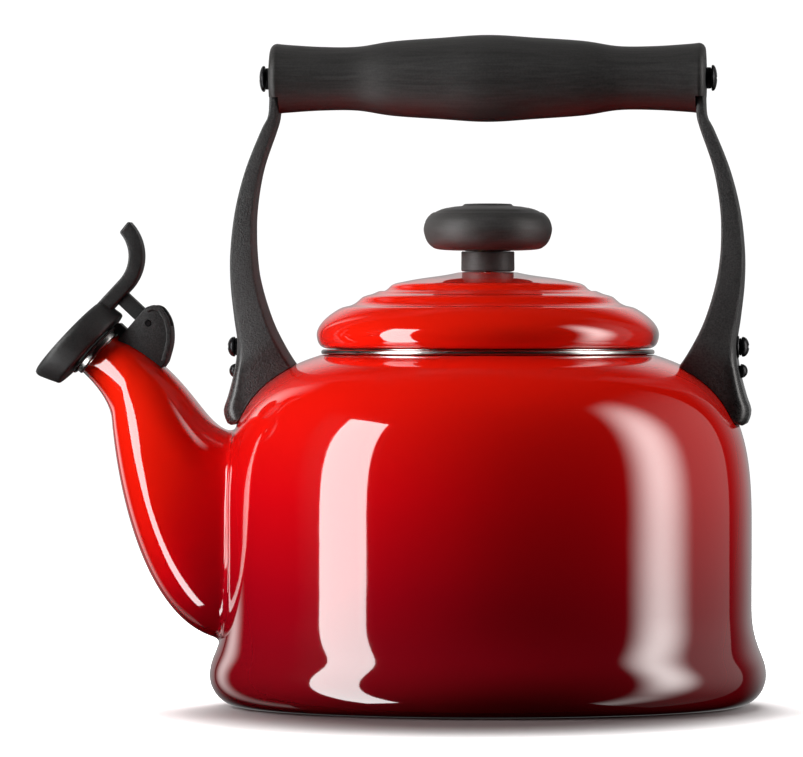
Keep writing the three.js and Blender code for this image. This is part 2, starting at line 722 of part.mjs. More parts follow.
function gripSolid() {
  const half = gripLength / 2;
  const round = 2.4;
  const [mid, waist, end] = [gripMiddleRadius, gripWaistRadius, gripEndRadius];
  const swell = [
    [mid - 1, gripWaistPlace * 0.34],
    [(mid + waist) / 2 - 0.1, gripWaistPlace * 0.66],
    [waist + 0.15, gripWaistPlace * 0.9],
    [waist + 0.1, gripWaistPlace * 1.14],
    [end - 0.4, half - round - 4],
    [end, half - round],
  ];
  const mirrored = (points) => points.map(([r, x]) => [r, -x]).reverse();
  const side = new THREE.SplineCurve(
    [...mirrored(swell), [mid, 0], ...swell].map(([r, x]) => new THREE.Vector2(r, x)),
  ).getPoints(24);
  const rounding = [[end - 0.7, half - 0.7], [end - round, half], [0, half]];
  const outline = [...mirrored(rounding), ...pairs(side), ...rounding];
  const body = alongX(turn(outline)).translate(0, 0, gripHeight);
  const floor = half - tabThickness - gap;
  const boreDepth = gripInsertLength + 6;
  const slotSide = armTopWidth / 2 + gap;
  const pockets = [1, -1].flatMap((side) => [
    box(floor, half + 5, -slotSide, slotSide, gripHeight - 2 * mid, gripHeight + tabRise + gap),
    box(floor, half + 5, -2 * mid, 2 * mid, gripHeight - 2 * mid, gripHeight - tabRise),
    alongX(rod(gripInsertRadius + gap, floor - boreDepth, half, 16)).translate(0, 0, gripHeight),
  ].map((g) => (side < 0 ? g.rotateZ(Math.PI) : g)));
  return cut(body, ...pockets);
}
part("grip", gripSolid(), phenolic);

// Everything at one end of the handle. The front end is the rear end turned half round.
const screwHead = (radius, height, low) => [
  [radius - 0.3, low],
  [radius, low + 0.3],
  [radius * 0.82, low + height * 0.62],
  [radius * 0.45, low + height * 0.93],
  [0, low + height],
];

function handleEnd(name, group) {
  const face = gripLength / 2;
  const at = (geometry, z) => alongX(geometry).translate(0, 0, z);
  part("arm_" + name, arm(), texturedBlack, group);

  const gripSeat = face + gap / 2;
  const gripHead = gripSeat + gripWasherHeight + gap / 2;
  part(
    "grip_washer_" + name,
    at(tube(shankRadius + gap, gripWasherRadius, gripSeat, gripSeat + gripWasherHeight), gripHeight),
    blackSteel,
    group,
  );
  part(
    "grip_screw_" + name,
    at(turn([
      [0, face - tabThickness - gripInsertLength], [shankRadius, face - tabThickness - gripInsertLength],
      [shankRadius, gripHead], ...screwHead(gripScrewHeadRadius, gripScrewHeadHeight, gripHead),
    ], 16), gripHeight),
    blackSteel,
    group,
  );
  const insertEnd = face - tabThickness - 2 * gap;
  part(
    "grip_insert_" + name,
    at(
      tube(shankRadius + gap, gripInsertRadius, insertEnd - gripInsertLength - 1, insertEnd, 16),
      gripHeight,
    ),
    brass,
    group,
  );

  const washer = handleSeatX + gap;
  const lock = washer + handleWasherHeight + 0.1;
  const head = lock + lockWasherHeight + 0.1;
  part(
    "handle_washer_" + name,
    at(tube(shankRadius + gap, handleWasherRadius, washer, washer + handleWasherHeight), handleScrewHeight),
    blackSteel,
    group,
  );
  part(
    "lock_washer_" + name,
    at(tube(shankRadius + gap, lockWasherRadius, lock, lock + lockWasherHeight), handleScrewHeight),
    blackSteel,
    group,
  );
  part(
    "handle_screw_" + name,
    at(turn([
      [0, lugX - 1], [shankRadius, lugX - 1], [shankRadius, head],
      ...screwHead(handleScrewHeadRadius, handleScrewHeadHeight, head),
    ], 16), handleScrewHeight),
    blackSteel,
    group,
  );
  part(
    "locating_stud_" + name,
    at(turn([
      [0, lugX + 0.6],
      [studRadius, lugX + 0.6],
      [studRadius, studSeatX],
      [studHeadRadius, studSeatX + 0.4],
      [studHeadRadius * 0.94, studSeatX + 1.2],
      [studHeadRadius * 0.66, studSeatX + 2.2],
      [0, studSeatX + 2.5],
    ], 16), studHeight),
    blackSteel,
    group,
  );
  part(
    "handle_lug_" + name,
    cut(
      lugBlock(0),
      filledBody(gap),
      at(rod(shankRadius + gap, lugX - 10, lugX + 10, 16), handleScrewHeight),
      at(rod(studRadius + gap, lugX + gap, lugX + 10, 16), studHeight),
    ),
    steel,
    group,
  );
}

const rearEnd = new THREE.Group();
const frontEnd = new THREE.Group();
frontEnd.rotation.z = Math.PI;
kettle.add(rearEnd, frontEnd);
handleEnd("rear", rearEnd);
handleEnd("front", frontEnd);

export default kettle;
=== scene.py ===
# A stovetop whistling kettle: red enamelled body, stepped lid, sprung whistle flap and turned black grip.
import math

import bmesh
import bpy
from mathutils import Matrix, Vector


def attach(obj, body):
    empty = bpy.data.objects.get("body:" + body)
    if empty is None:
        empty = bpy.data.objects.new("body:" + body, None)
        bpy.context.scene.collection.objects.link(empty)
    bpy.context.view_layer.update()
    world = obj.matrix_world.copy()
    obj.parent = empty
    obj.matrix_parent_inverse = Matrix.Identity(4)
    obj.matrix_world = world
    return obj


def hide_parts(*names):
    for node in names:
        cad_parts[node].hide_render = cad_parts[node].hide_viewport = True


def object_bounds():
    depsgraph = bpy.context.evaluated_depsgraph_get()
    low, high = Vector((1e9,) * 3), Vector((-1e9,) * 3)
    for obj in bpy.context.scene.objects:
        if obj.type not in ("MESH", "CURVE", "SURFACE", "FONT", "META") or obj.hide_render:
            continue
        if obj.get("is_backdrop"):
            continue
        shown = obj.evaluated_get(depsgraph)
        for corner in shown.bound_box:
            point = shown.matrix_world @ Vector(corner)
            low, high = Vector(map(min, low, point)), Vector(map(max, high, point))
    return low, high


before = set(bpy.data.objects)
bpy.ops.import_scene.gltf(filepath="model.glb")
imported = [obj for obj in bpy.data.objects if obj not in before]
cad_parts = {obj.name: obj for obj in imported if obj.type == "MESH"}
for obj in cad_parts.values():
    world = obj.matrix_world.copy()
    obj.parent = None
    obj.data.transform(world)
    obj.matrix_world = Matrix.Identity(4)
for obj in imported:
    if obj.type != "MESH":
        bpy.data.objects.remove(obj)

cad_low, cad_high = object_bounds()

# ---------------------------------------------------------------- camera
# A long lens stands a little to the right of the handle's plane, level with the middle of the kettle.
camera_turn = math.radians(4.5)
camera_distance = 2.7
camera_height = 0.138
aim = Vector(((cad_low.x + cad_high.x) / 2 + 0.0005, 0, 0.113))
to_camera = Vector((math.sin(camera_turn), -math.cos(camera_turn), 0))
to_right = Vector((math.cos(camera_turn), math.sin(camera_turn), 0))

lens = bpy.data.cameras.new("camera")
lens.lens = 351
lens.sensor_width = 36
lens.clip_end = 60
camera = bpy.data.objects.new("camera", lens)
camera.location = aim + to_camera * camera_distance
camera.location.z = camera_height
camera.rotation_euler = (aim - camera.location).to_track_quat("-Z", "Y").to_euler()
bpy.context.scene.collection.objects.link(camera)
bpy.context.scene.camera = camera


# ---------------------------------------------------------------- studio
# A pale table with soft boxes to the left, the right and overhead. The table's colour darkens under and in
# front of the kettle as a painted shadow, and its glow, which rises away from the kettle, is painted light
# that burns the rest of it out to white. A tall strip box on the left draws the long crisp line down the
# enamel, and two glowing screens draw the soft bands near its edges.
class Wire:
    """A value in a shader. Sums and products of wires and numbers add Math nodes."""

    def __init__(self, tree, socket=None):
        self.tree = tree
        self.socket = socket

    def node(self, kind, settings=None, sockets=None, output=0):
        made = self.tree.nodes.new("ShaderNode" + kind)
        for name, value in (settings or {}).items():
            if name == "stops":
                stops = made.color_ramp.elements
                while len(stops) < len(value):
                    stops.new(1)
                for stop, (place, colour) in zip(stops, value):
                    stop.position = place
                    stop.color = (*colour, 1)
            else:
                setattr(made, name, value)
        for name, value in (sockets or {}).items():
            if isinstance(value, Wire):
                self.tree.links.new(value.socket, made.inputs[name])
            else:
                made.inputs[name].default_value = value
        return Wire(self.tree, made.outputs[output])

    def into(self, shader, name):
        self.tree.links.new(self.socket, shader.inputs[name])

    def maths(self, operation, first, second):
        return self.node("Math", {"operation": operation}, {0: first, 1: second})

    def __add__(self, other):
        return self.maths("ADD", self, other)

    __radd__ = __add__

    def __sub__(self, other):
        return self.maths("SUBTRACT", self, other)

    def __rsub__(self, other):
        return self.maths("SUBTRACT", other, self)

    def __mul__(self, other):
        return self.maths("MULTIPLY", self, other)

    __rmul__ = __mul__

    def __pow__(self, other):
        return self.maths("POWER", self, other)

    def ramp(self, low, high):
        sockets = {"Value": self, "From Min": low, "From Max": high}
        return self.node("MapRange", {"interpolation_type": "SMOOTHSTEP"}, sockets)

    def mix(self, low, high):
        """Colour low where this is 0, and high where it is 1."""
        low, high = (end if isinstance(end, Wire) else (*end, 1) for end in (low, high))
        return self.node("Mix", {"data_type": "RGBA"}, {0: self, 6: low, 7: high}, 2)

    def noise(self, place, scale, detail=2, stretch=(1, 1, 1)):
        spread = self.node("Mapping", {}, {"Vector": place, "Scale": stretch})
        return self.node("TexNoise", {}, {"Vector": spread, "Scale": scale, "Detail": detail})

    def place(self):
        return self.node("TexCoord", {}, {}, "Object")

    def bump(self, height, depth, strength=1):
        return self.node("Bump", {}, {"Height": height, "Distance": depth, "Strength": strength}, "Normal")


def finish(name, **constants):
    """A material, its shader and a wire to start from. Names of sockets are written with _ for a space."""
    made = bpy.data.materials.new(name)
    made.use_nodes = True
    shader = made.node_tree.nodes["Principled BSDF"]
    for socket, value in constants.items():
        shader.inputs[socket.replace("_", " ")].default_value = value
    return made, shader, Wire(made.node_tree)


def card(name, width, height):
    """A flat upright card facing -Y."""
    mesh = bpy.data.meshes.new(name)
    x, z = width / 2, height / 2
    mesh.from_pydata([(-x, 0, -z), (x, 0, -z), (x, 0, z), (-x, 0, z)], [], [(0, 1, 2, 3)])
    made = bpy.data.objects.new(name, mesh)
    bpy.context.scene.collection.objects.link(made)
    made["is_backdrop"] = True
    return made


table = card("table", 12, 12)
table.rotation_euler.x = math.radians(-90)
table.visible_glossy = False
table.visible_diffuse = False
table_painted_shadow, shader, start = finish("table_painted_shadow", Roughness=0.7, Specular_IOR_Level=0.1)
shader.inputs["Emission Strength"].default_value = 1
under = start.node("Mapping", {}, {"Vector": start.place(), "Location": (0, 0, 0.03), "Scale": (1.6, 1, 1)})
away = start.node("VectorMath", {"operation": "LENGTH"}, {0: under}, "Value")
# Painted shadow: the colour is dark near and in front of the kettle; the glow that takes over further out is
# painted light.
away.ramp(0.09, 0.2).mix((0.14, 0.11, 0.11), (0.85, 0.84, 0.84)).into(shader, "Base Color")
away.ramp(0.125, 0.25).mix((0, 0, 0), (1.1, 1.1, 1.1)).into(shader, "Emission Color")
table.data.materials.append(table_painted_shadow)


def softbox(name, place, target, width, height, watts, glossy=True, diffuse=True):
    lamp = bpy.data.lights.new(name, "AREA")
    lamp.shape = "RECTANGLE"
    lamp.size = width
    lamp.size_y = height
    lamp.energy = watts
    box = bpy.data.objects.new(name, lamp)
    box.location = place
    box.rotation_euler = (Vector(target) - Vector(place)).to_track_quat("-Z", "Y").to_euler()
    box.visible_camera = False
    box.visible_glossy = glossy
    box.visible_diffuse = diffuse
    bpy.context.scene.collection.objects.link(box)
    return box


strip_place = to_right * -1.217 + to_camera * 0.576 + Vector((0, 0, -0.4))
softbox("strip_box", strip_place, (0, 0, -0.4), 0.56, 3.2, 41, diffuse=False)


def beside(turn_degrees, distance, height):
    """A place round the kettle. The turn is from the camera towards its right."""
    t = math.radians(turn_degrees)
    return to_right * math.sin(t) * distance + to_camera * math.cos(t) * distance + Vector((0, 0, height))


softbox("left_key", beside(-72, 1.0, 0.4), (0, 0, 0.1), 0.6, 0.9, 16.5, glossy=False)
softbox("right_fill", beside(84, 1.6, 0.45), (0, 0, 0.1), 0.8, 1.2, 20, glossy=False)
softbox("overhead", (-0.1, 0.8, 1.0), (0, 0, 0.05), 1.0, 1.0, 24, glossy=False)


def screen(name, place, width, height, strength, middle, edge, tail):
    """A card seen only in reflections, brightest middle metres across it. It fades over edge metres each way,
    and tail is the glow left beyond that on its right."""
    made = card(name, width, height)
    made.location = place
    made.rotation_euler.z = math.atan2(place.y, place.x) + math.radians(90)
    made.visible_camera = False
    made.visible_diffuse = False
    made.visible_shadow = False
    glow, shader, start = finish(name + "_glow", Specular_IOR_Level=0)
    shader.inputs["Base Color"].default_value = (0, 0, 0, 1)
    shader.inputs["Emission Strength"].default_value = strength
    across = start.node("SeparateXYZ", {}, {0: start.place()}, 0) - middle
    upwards = start.node("SeparateXYZ", {}, {0: start.place()}, 2)
    fade = across.ramp(-edge, 0) * ((1 - across.ramp(0, edge)) * (1 - tail) + tail)
    fade = fade * (upwards.ramp(-0.9, 0.3) * 0.8 + 0.2) * (1 - upwards.ramp(height * 0.12, height / 2))
    fade.mix((0, 0, 0), (1, 0.97, 0.95)).into(shader, "Emission Color")
    made.data.materials.append(glow)


screen("right_screen", beside(88, 1.35, 0.0), 2.2, 4.6, 6.2, -0.25, 0.5, 0.05)
screen("rear_screen", beside(-141, 1.4, 0.1), 0.6, 2.8, 1.3, 0, 0.28, 0)

world = bpy.data.worlds.new("room")
world.use_nodes = True
bpy.context.scene.world = world
room = Wire(world.node_tree)
turned_to = room.node("TexCoord", {}, {}, "Generated")
behind = room.node("SeparateXYZ", {}, {0: turned_to}, 1).ramp(0.6, 1.02) ** 2.2
upwards = room.node("SeparateXYZ", {}, {0: turned_to}, 2)
above = upwards.ramp(-0.4, 0.05) * 0.4 + upwards.ramp(0.05, 0.5) * 0.6
glossy = room.node("LightPath", {}, {}, "Is Glossy Ray")
seen = room.node("LightPath", {}, {}, "Is Camera Ray")
walls = (behind * above).mix((0, 0, 0), (0.9, 0.9, 0.9))
backdrop = world.node_tree.nodes["Background"]
seen.mix(glossy.mix((0.05, 0.05, 0.05), walls), (1.05, 1.05, 1.05)).into(backdrop, "Color")
bpy.context.scene.view_settings.view_transform = "Standard"


# ---------------------------------------------------------------- body
# Deep-drawn steel shell with a rolled foot and a domed shoulder, fired with a glossy red enamel. Its colour
# darkens towards the base, partly the enamel's own fade and partly painted shade, and the spout is made
# lighter as painted light. The inside has a dark ground coat. Sizes are in millimetres.
wall_thickness = 1.2
body_radius = 90.9
body_height = 121.2
flare_radius = 95.9
flare_height = 11
waist_height = 34
shoulder_start = 64
shoulder_slope = math.radians(17)
rim_radius = 57.4
seam_lift = 0.4
seam_width = 5
# Colour by height from the base up: partly the enamel's own fade to dark and partly painted shade towards the
# base.
enamel_colours_and_painted_shade = [
    (0.0, (0.16, 0.003, 0.006)),
    (0.15, (0.23, 0.002, 0.007)),
    (0.27, (0.35, 0.0012, 0.007)),
    (0.5, (0.64, 0.002, 0.005)),
    (0.72, (0.79, 0.008, 0.003)),
    (1.0, (0.86, 0.014, 0.003)),
]


def bezier(a, b, c, d, count):
    points = []
    for i in range(count + 1):
        t = i / count
        s = 1 - t
        weights = (s * s * s, 3 * s * s * t, 3 * s * t * t, t * t * t)
        points.append(tuple(sum(w * p[k] for w, p in zip(weights, (a, b, c, d))) for k in (0, 1)))
    return points


def curve_through(points, count):
    """A smooth curve that passes through every point, as count steps."""
    found = []
    last = len(points) - 1
    for i in range(count + 1):
        at = last * i / count
        k = min(int(at), last - 1)
        t = at - k
        p0, p1, p2, p3 = (points[min(max(k + j, 0), last)] for j in (-1, 0, 1, 2))
        place = []
        for a, b, c, d in zip(p0, p1, p2, p3):
            u, v = (c - a) / 2, (d - b) / 2
            place.append((2 * b - 2 * c + u + v) * t**3 + (3 * c - 3 * b - 2 * u - v) * t**2 + u * t + b)
        found.append(tuple(place))
    return found


def arc(x, y, radius, start_degrees, end_degrees, count):
    sweep = end_degrees - start_degrees
    turns = [math.radians(start_degrees + sweep * i / count) for i in range(count + 1)]
    return [(x + radius * math.cos(t), y + radius * math.sin(t)) for t in turns]


def shifted(points, distance):
    """The same line moved sideways, to the left of its direction of travel."""
    moved = []
    for i, (x, y) in enumerate(points):
        x0, y0 = points[max(i - 1, 0)]
        x1, y1 = points[min(i + 1, len(points) - 1)]
        length = math.hypot(x1 - x0, y1 - y0)
        moved.append((x - (y1 - y0) / length * distance, y + (x1 - x0) / length * distance))
    return moved


def body_outline(fine=1):
    foot = flare_radius - (flare_height - seam_lift)
    roll = arc(foot, flare_height, flare_radius - foot, -90, 0, 10 * fine)
    flare = bezier(
        (flare_radius, flare_height),
        (flare_radius, flare_height + 7),
        (body_radius + 0.1, waist_height - 13.5),
        (body_radius, waist_height),
        12 * fine,
    )
    straight = [(body_radius, z) for z in (41, 48, 56)]
    lean = 28
    drop = body_height - shoulder_start
    shoulder = bezier(
        (body_radius, shoulder_start),
        (body_radius, body_height - drop * 0.44),
        (rim_radius + lean, body_height - lean * math.tan(shoulder_slope)),
        (rim_radius, body_height),
        26 * fine,
    )
    return [(foot - seam_width, seam_lift), *roll, *flare[1:], *straight, *shoulder]


def shape(name, vertices, faces, slots=None):
    """A new object from points in millimetres, with its faces turned outwards."""
    mesh = bpy.data.meshes.new(name)
    mesh.from_pydata([Vector(v) * 0.001 for v in vertices], [], faces)
    if slots:
        mesh.polygons.foreach_set("material_index", slots)
    work = bmesh.new()
    work.from_mesh(mesh)
    bmesh.ops.recalc_face_normals(work, faces=work.faces)
    work.to_mesh(mesh)
    work.free()
    made = bpy.data.objects.new(name, mesh)
    bpy.context.scene.collection.objects.link(made)
    return made


def turned(name, outline, steps=128, inside=None):
    """A closed outline of (radius, height) turned round Z. Faces from row inside onwards take slot 1."""
    vertices, rows, faces, slots = [], [], [], []
    for radius, height in outline:
        if radius < 1e-6:
            rows.append([len(vertices)] * steps)
            vertices.append((0, 0, height))
        else:
            rows.append(list(range(len(vertices), len(vertices) + steps)))
            for i in range(steps):
                t = 2 * math.pi * i / steps
                vertices.append((radius * math.cos(t), radius * math.sin(t), height))
    for k, (low, high) in enumerate(zip(rows, rows[1:] + rows[:1])):
        for i in range(steps):
            j = (i + 1) % steps
            face = list(dict.fromkeys((low[i], low[j], high[j], high[i])))
            if len(face) > 2:
                faces.append(face)
                slots.append(1 if inside is not None and k >= inside else 0)
    return shape(name, vertices, faces, slots)


def settle(piece):
    """Applies the piece's modifiers."""
    found = piece.evaluated_get(bpy.context.evaluated_depsgraph_get())
    mesh = bpy.data.meshes.new_from_object(found)
    piece.modifiers.clear()
    piece.data = mesh
    return piece


def combine(piece, operation, *tools):
    for tool in tools:
        step = piece.modifiers.new(operation, "BOOLEAN")
        step.operation = operation
        step.solver = "EXACT"
        step.object = tool
    bpy.context.view_layer.update()
    settle(piece)
    for tool in tools:
        bpy.data.objects.remove(tool)
    return piece


def carve(piece, *tools):
    return combine(piece, "DIFFERENCE", *tools)


def moved(piece, matrix):
    """Moves a shape's own points. The matrix is in millimetres."""
    metres = matrix.copy()
    metres.translation = matrix.translation * 0.001
    piece.data.transform(metres)
    return piece


def fit(piece, body, slot, materials, *nodes, crease=32):
    """Shades the piece, gives it its materials and puts it in place of its CAD nodes."""
    piece.data.shade_smooth()
    piece.data.set_sharp_from_angle(angle=math.radians(crease))
    piece.data.materials.clear()
    for material in materials:
        piece.data.materials.append(material)
    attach(piece, body)
    if nodes:
        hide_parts(*nodes)
    return piece


red_enamel, shader, start = finish(
    "red_enamel", Roughness=0.06, IOR=1.45, Coat_Weight=1.0, Coat_Roughness=0.012, Coat_IOR=1.6
)
place = start.place()
height = start.node("SeparateXYZ", {}, {0: place}, 2) * (1 / 0.15)
firing = start.noise(place, 22, 3) - 0.5
# Painted light: the spout, beyond the body's wall, is made lighter than the body.
painted_spout_light = (start.node("SeparateXYZ", {}, {0: place}, 0) * -1).ramp(0.086, 0.12)
enamel_tone_and_painted_light = height + firing * 0.05 + painted_spout_light * 0.25
start.node("ValToRGB", {"stops": enamel_colours_and_painted_shade}, {0: enamel_tone_and_painted_light}).into(shader, "Base Color")
flow = start.noise(place, 55, 2)
start.bump(flow, 0.00022, 0.35).into(shader, "Normal")
(0.05 + start.noise(place, 700, 2) * 0.03).into(shader, "Roughness")

dark_enamel, shader, start = finish("dark_enamel", IOR=1.5, Coat_Weight=0.6, Coat_Roughness=0.08)
place = start.place()
fleck = start.node("TexVoronoi", {}, {"Vector": place, "Scale": 420}, 0).ramp(0.16, 0.1)
fleck = fleck * start.noise(place, 260, 2).ramp(0.5, 0.62)
fleck.mix((0.012, 0.011, 0.012), (0.3, 0.29, 0.28)).into(shader, "Base Color")
(0.22 + start.noise(place, 120, 3) * 0.16).into(shader, "Roughness")

outside = body_outline()
inside = shifted(outside, wall_thickness)
kettle_body = turned("kettle_body", outside + inside[::-1], 160, len(outside) - 1)


# ---------------------------------------------------------------- spout
# Two pressed halves welded along the middle, welded to the body with a small smooth fillet and enamelled
# together with it. It narrows from a tall flat-sided root to a round mouth.
mouth_x = -134.0
mouth_z = 121.5
mouth_tilt = math.radians(43)
mouth_radius = 9.0
spout_half_width = 21.5
spout_bulge = 27.0
spout_top_end = (-85.9, 94.6)
spout_bottom_end = (-85.9, 22.6)
knee = (-130.0, 97.2)
weld_size = 3.2
mouth_out = (-math.cos(mouth_tilt), math.sin(mouth_tilt))
mouth_up = (mouth_out[1], -mouth_out[0])


def even(points, count):
    """The same line as count equal steps."""
    lengths = [0]
    for p, q in zip(points, points[1:]):
        lengths.append(lengths[-1] + math.dist(p, q))
    found = []
    k = 0
    for i in range(count + 1):
        want = lengths[-1] * i / count
        while k < len(points) - 2 and lengths[k + 1] < want:
            k += 1
        t = (want - lengths[k]) / max(lengths[k + 1] - lengths[k], 1e-9)
        found.append(tuple(a + (b - a) * t for a, b in zip(points[k], points[k + 1])))
    return found


def beside_mouth(up, out):
    """A point of the handle's plane, from the middle of the mouth."""
    return (mouth_x + mouth_up[0] * up + mouth_out[0] * out, mouth_z + mouth_up[1] * up + mouth_out[1] * out)


def upper_outline():
    first, last = beside_mouth(mouth_radius, 0), spout_top_end
    dx, dz = last[0] - first[0], last[1] - first[1]
    one = (first[0] + 0.676 * dx, first[1] + 0.436 * dz)
    two = (last[0] - 0.32 * dx, last[1] + 0.018 * dz)
    return even(bezier(first, one, two, last, 200), 400)


def lower_outline():
    first, last = beside_mouth(-mouth_radius, 0), spout_bottom_end
    head = bezier(first, beside_mouth(-mouth_radius, -6.4), (knee[0], knee[1] + 6.75), knee, 100)
    dx, dz = last[0] - knee[0], last[1] - knee[1]
    below_knee = (knee[0] + 0.033 * dx, knee[1] + 0.236 * dz)
    before_root = (last[0] - 0.756 * dx, last[1] + 0.026 * dz)
    tail = bezier(knee, below_knee, before_root, last, 200)
    return even(head + tail[1:], 400)


spout_upper = upper_outline()
spout_lower = lower_outline()


def along(points, share):
    at = min(max(share, 0), 1) * (len(points) - 1)
    k = min(int(at), len(points) - 2)
    return tuple(a + (b - a) * (at - k) for a, b in zip(points[k], points[k + 1]))


def spout_ring(t, inset, count, shift=0.0):
    """Ring number t from the mouth, 0, to the root, 1."""
    top = Vector(along(spout_upper, t))
    bottom = Vector(along(spout_lower, t))
    rise = top - bottom
    centre = (top + bottom) / 2 + Vector(mouth_out) * shift
    half_height = rise.length / 2 - inset
    rise.normalize()
    u = 1 - t
    half_width = (
        u**3 * mouth_radius + (3 * u * u * t + t**3) * spout_half_width + 3 * u * t * t * spout_bulge - inset
    )
    flat = max(half_height - half_width, 0)
    ring = []
    for j in range(count):
        c = math.cos(2 * math.pi * j / count)
        up = c * (half_height - flat) + math.sin(math.pi / 2 * min(max(c / 0.25, -1), 1)) * flat
        side = math.sin(2 * math.pi * j / count) * half_width
        ring.append(Vector((centre.x + rise.x * up, side, centre.y + rise.y * up)))
    return ring


body_line = sorted((z, r) for r, z in body_outline(3))


def radius_at(z):
    """Radius of the body's outside at a height."""
    for (z0, r0), (z1, r1) in zip(body_line, body_line[1:]):
        if z <= z1 and z1 > z0:
            return r0 + (r1 - r0) * max(z - z0, 0) / (z1 - z0)
    return body_line[-1][1]


def on_body(point, proud=0.0):
    reach = (radius_at(point.z) + proud) / math.hypot(point.x, point.y)
    return Vector((point.x * reach, point.y * reach, point.z))


def outside_body(point):
    return math.hypot(point.x, point.y) - radius_at(point.z)


def spout_line(j, rings):
    """One line of the spout's skin, from the mouth to the weld and out on to the body's wall."""
    line = [ring[j] for ring in rings]
    k = next(i for i, p in enumerate(line) if outside_body(p) < 0)
    before, after = line[k - 1], line[k]
    share = outside_body(before) / (outside_body(before) - outside_body(after))
    meet = before.lerp(after, share)
    centre = sum(rings[k], Vector()) / len(rings[k])
    slope = (radius_at(meet.z + 0.5) - radius_at(meet.z - 0.5)) / 1.0
    from_axis = math.hypot(meet.x, meet.y)
    normal = Vector((meet.x / from_axis, meet.y / from_axis, -slope)).normalized()
    away = meet - centre
    away = (away - normal * away.dot(normal)).normalized()
    land = on_body(meet + away * weld_size * 0.7, 0.03)
    kept = [p for p in line[:k] if (p - meet).length > weld_size]
    lift = kept[-1]
    smooth = even([tuple(p) for p in kept], 46)
    weld = []
    for i in range(1, 8):
        t = i / 7
        weld.append(tuple(lift * (1 - t) ** 2 + meet * 2 * t * (1 - t) + land * t * t))
    return smooth + weld


def skin(rings, closed=False):
    """Faces between rings of point numbers."""
    faces = []
    count = len(rings[0])
    pairs = list(zip(rings, rings[1:]))
    if closed:
        pairs.append((rings[-1], rings[0]))
    for a, b in pairs:
        for j in range(count):
            k = (j + 1) % count
            faces.append((a[j], a[k], b[k], b[j]))
    return faces


def loft(name, rings, closed=False):
    """A skin through rings of points, with flat ends unless it closes on itself."""
    count = len(rings[0])
    vertices = [p for ring in rings for p in ring]
    numbers = [list(range(i * count, (i + 1) * count)) for i in range(len(rings))]
    faces = skin(numbers, closed)
    if not closed:
        faces += [tuple(reversed(numbers[0])), tuple(numbers[-1])]
    return shape(name, vertices, faces)


spout_count = 64
spout_rings = [spout_ring(i / 240, 0, spout_count) for i in range(241)]
skin_lines = [spout_line(j, spout_rings) for j in range(spout_count)]
outer_rings = [[line[i] for line in skin_lines] for i in range(len(skin_lines[0]))]
inner_rings = [spout_ring(i / 40, wall_thickness, spout_count) for i in range(38, -1, -1)]
spout_pipe = loft("spout_pipe", outer_rings + inner_rings, closed=True)
spout_bore = loft(
    "spout_bore",
    [spout_ring(0, wall_thickness, 40, 3)] + [spout_ring(i / 24, wall_thickness, 40) for i in range(25)],
)
fit(carve(kettle_body, spout_bore), "kettle", "red_enamel", [red_enamel, dark_enamel], "body_shell")
fit(spout_pipe, "kettle", "red_enamel", [red_enamel], "spout", crease=50)


# ---------------------------------------------------------------- base pan
# The bottom is a shallow pressed pan, enamelled dark and lapped on the rolled foot, with two pressed rings
# that keep it from bowing on the hob.
pan_edge = flare_radius - (flare_height - seam_lift)
pan_inner = pan_edge - seam_width - 1
pan_outline = [
    (0, 0.35), (18, 0.35), (19, 0), (21, 0), (22, 0.35), (46, 0.35), (47, 0), (pan_inner - 2, 0),
    (pan_inner - 1, 0.2), (pan_inner - 0.4, 1), (pan_inner + 0.2, 1.8), (pan_inner + 1, 1.9),
    (pan_edge, 1.9), (pan_edge, 3.1), (pan_inner - 1.2, 3.1), (pan_inner - 2, 2.4), (pan_inner - 2.6, 1.2),
    (0, 1.2),
]
fit(turned("base_pan", pan_outline, 128), "kettle", "dark_enamel", [dark_enamel], "base_plate")


# ---------------------------------------------------------------- neck rim
# A folded ring of stainless steel covers the cut edge of the shoulder and hangs into the neck.
rim_height = 1.8
rim_width = 4
rim_drop = 7

bright_steel, shader, start = finish("bright_steel", Metallic=1.0)
place = start.place()
spun = start.noise(place, 40, 4, (1, 1, 60))
spun.mix((0.55, 0.54, 0.53), (0.72, 0.71, 0.69)).into(shader, "Base Color")
(0.13 + spun * 0.16).into(shader, "Roughness")
start.bump(spun, 0.00002, 0.5).into(shader, "Normal")

rim_inner = rim_radius - rim_width
rim_low = body_height + 0.25
rim_top = body_height + rim_height
rim_outline = [
    (rim_inner, body_height - rim_drop), (rim_inner + 1, body_height - rim_drop),
    (rim_inner + 1, rim_low - 0.6), (rim_inner + 1.5, rim_low),
    *arc(rim_radius - 0.5, rim_low + 0.5, 0.5, -90, 0, 4),
    *arc(rim_radius - 0.7, rim_top - 0.7, 0.7, 0, 90, 5), (rim_inner + 1.2, rim_top),
    (rim_inner + 0.4, rim_top - 0.3), (rim_inner, rim_top - 1),
]
fit(turned("neck_rim", rim_outline, 128), "kettle", "bright_steel", [bright_steel], "rim_ring")


# ---------------------------------------------------------------- lid
# A pressed steel dome with three stepped rings and a rolled edge, enamelled like the body. A steel collar
# welded inside it drops into the neck.
lid_edge = rim_top + 0.3
lid_radius = rim_radius + 1.5
lid_top = lid_edge + 26.4
lid_wall = 1.1
stem_hole = 2.5
stem_radius = 9.2
ring_radii = [lid_radius - inset for inset in (26.2, 15.8, 8.0)]
ring_heights = [lid_edge + rise for rise in (22.2, 17.8, 13.9)]


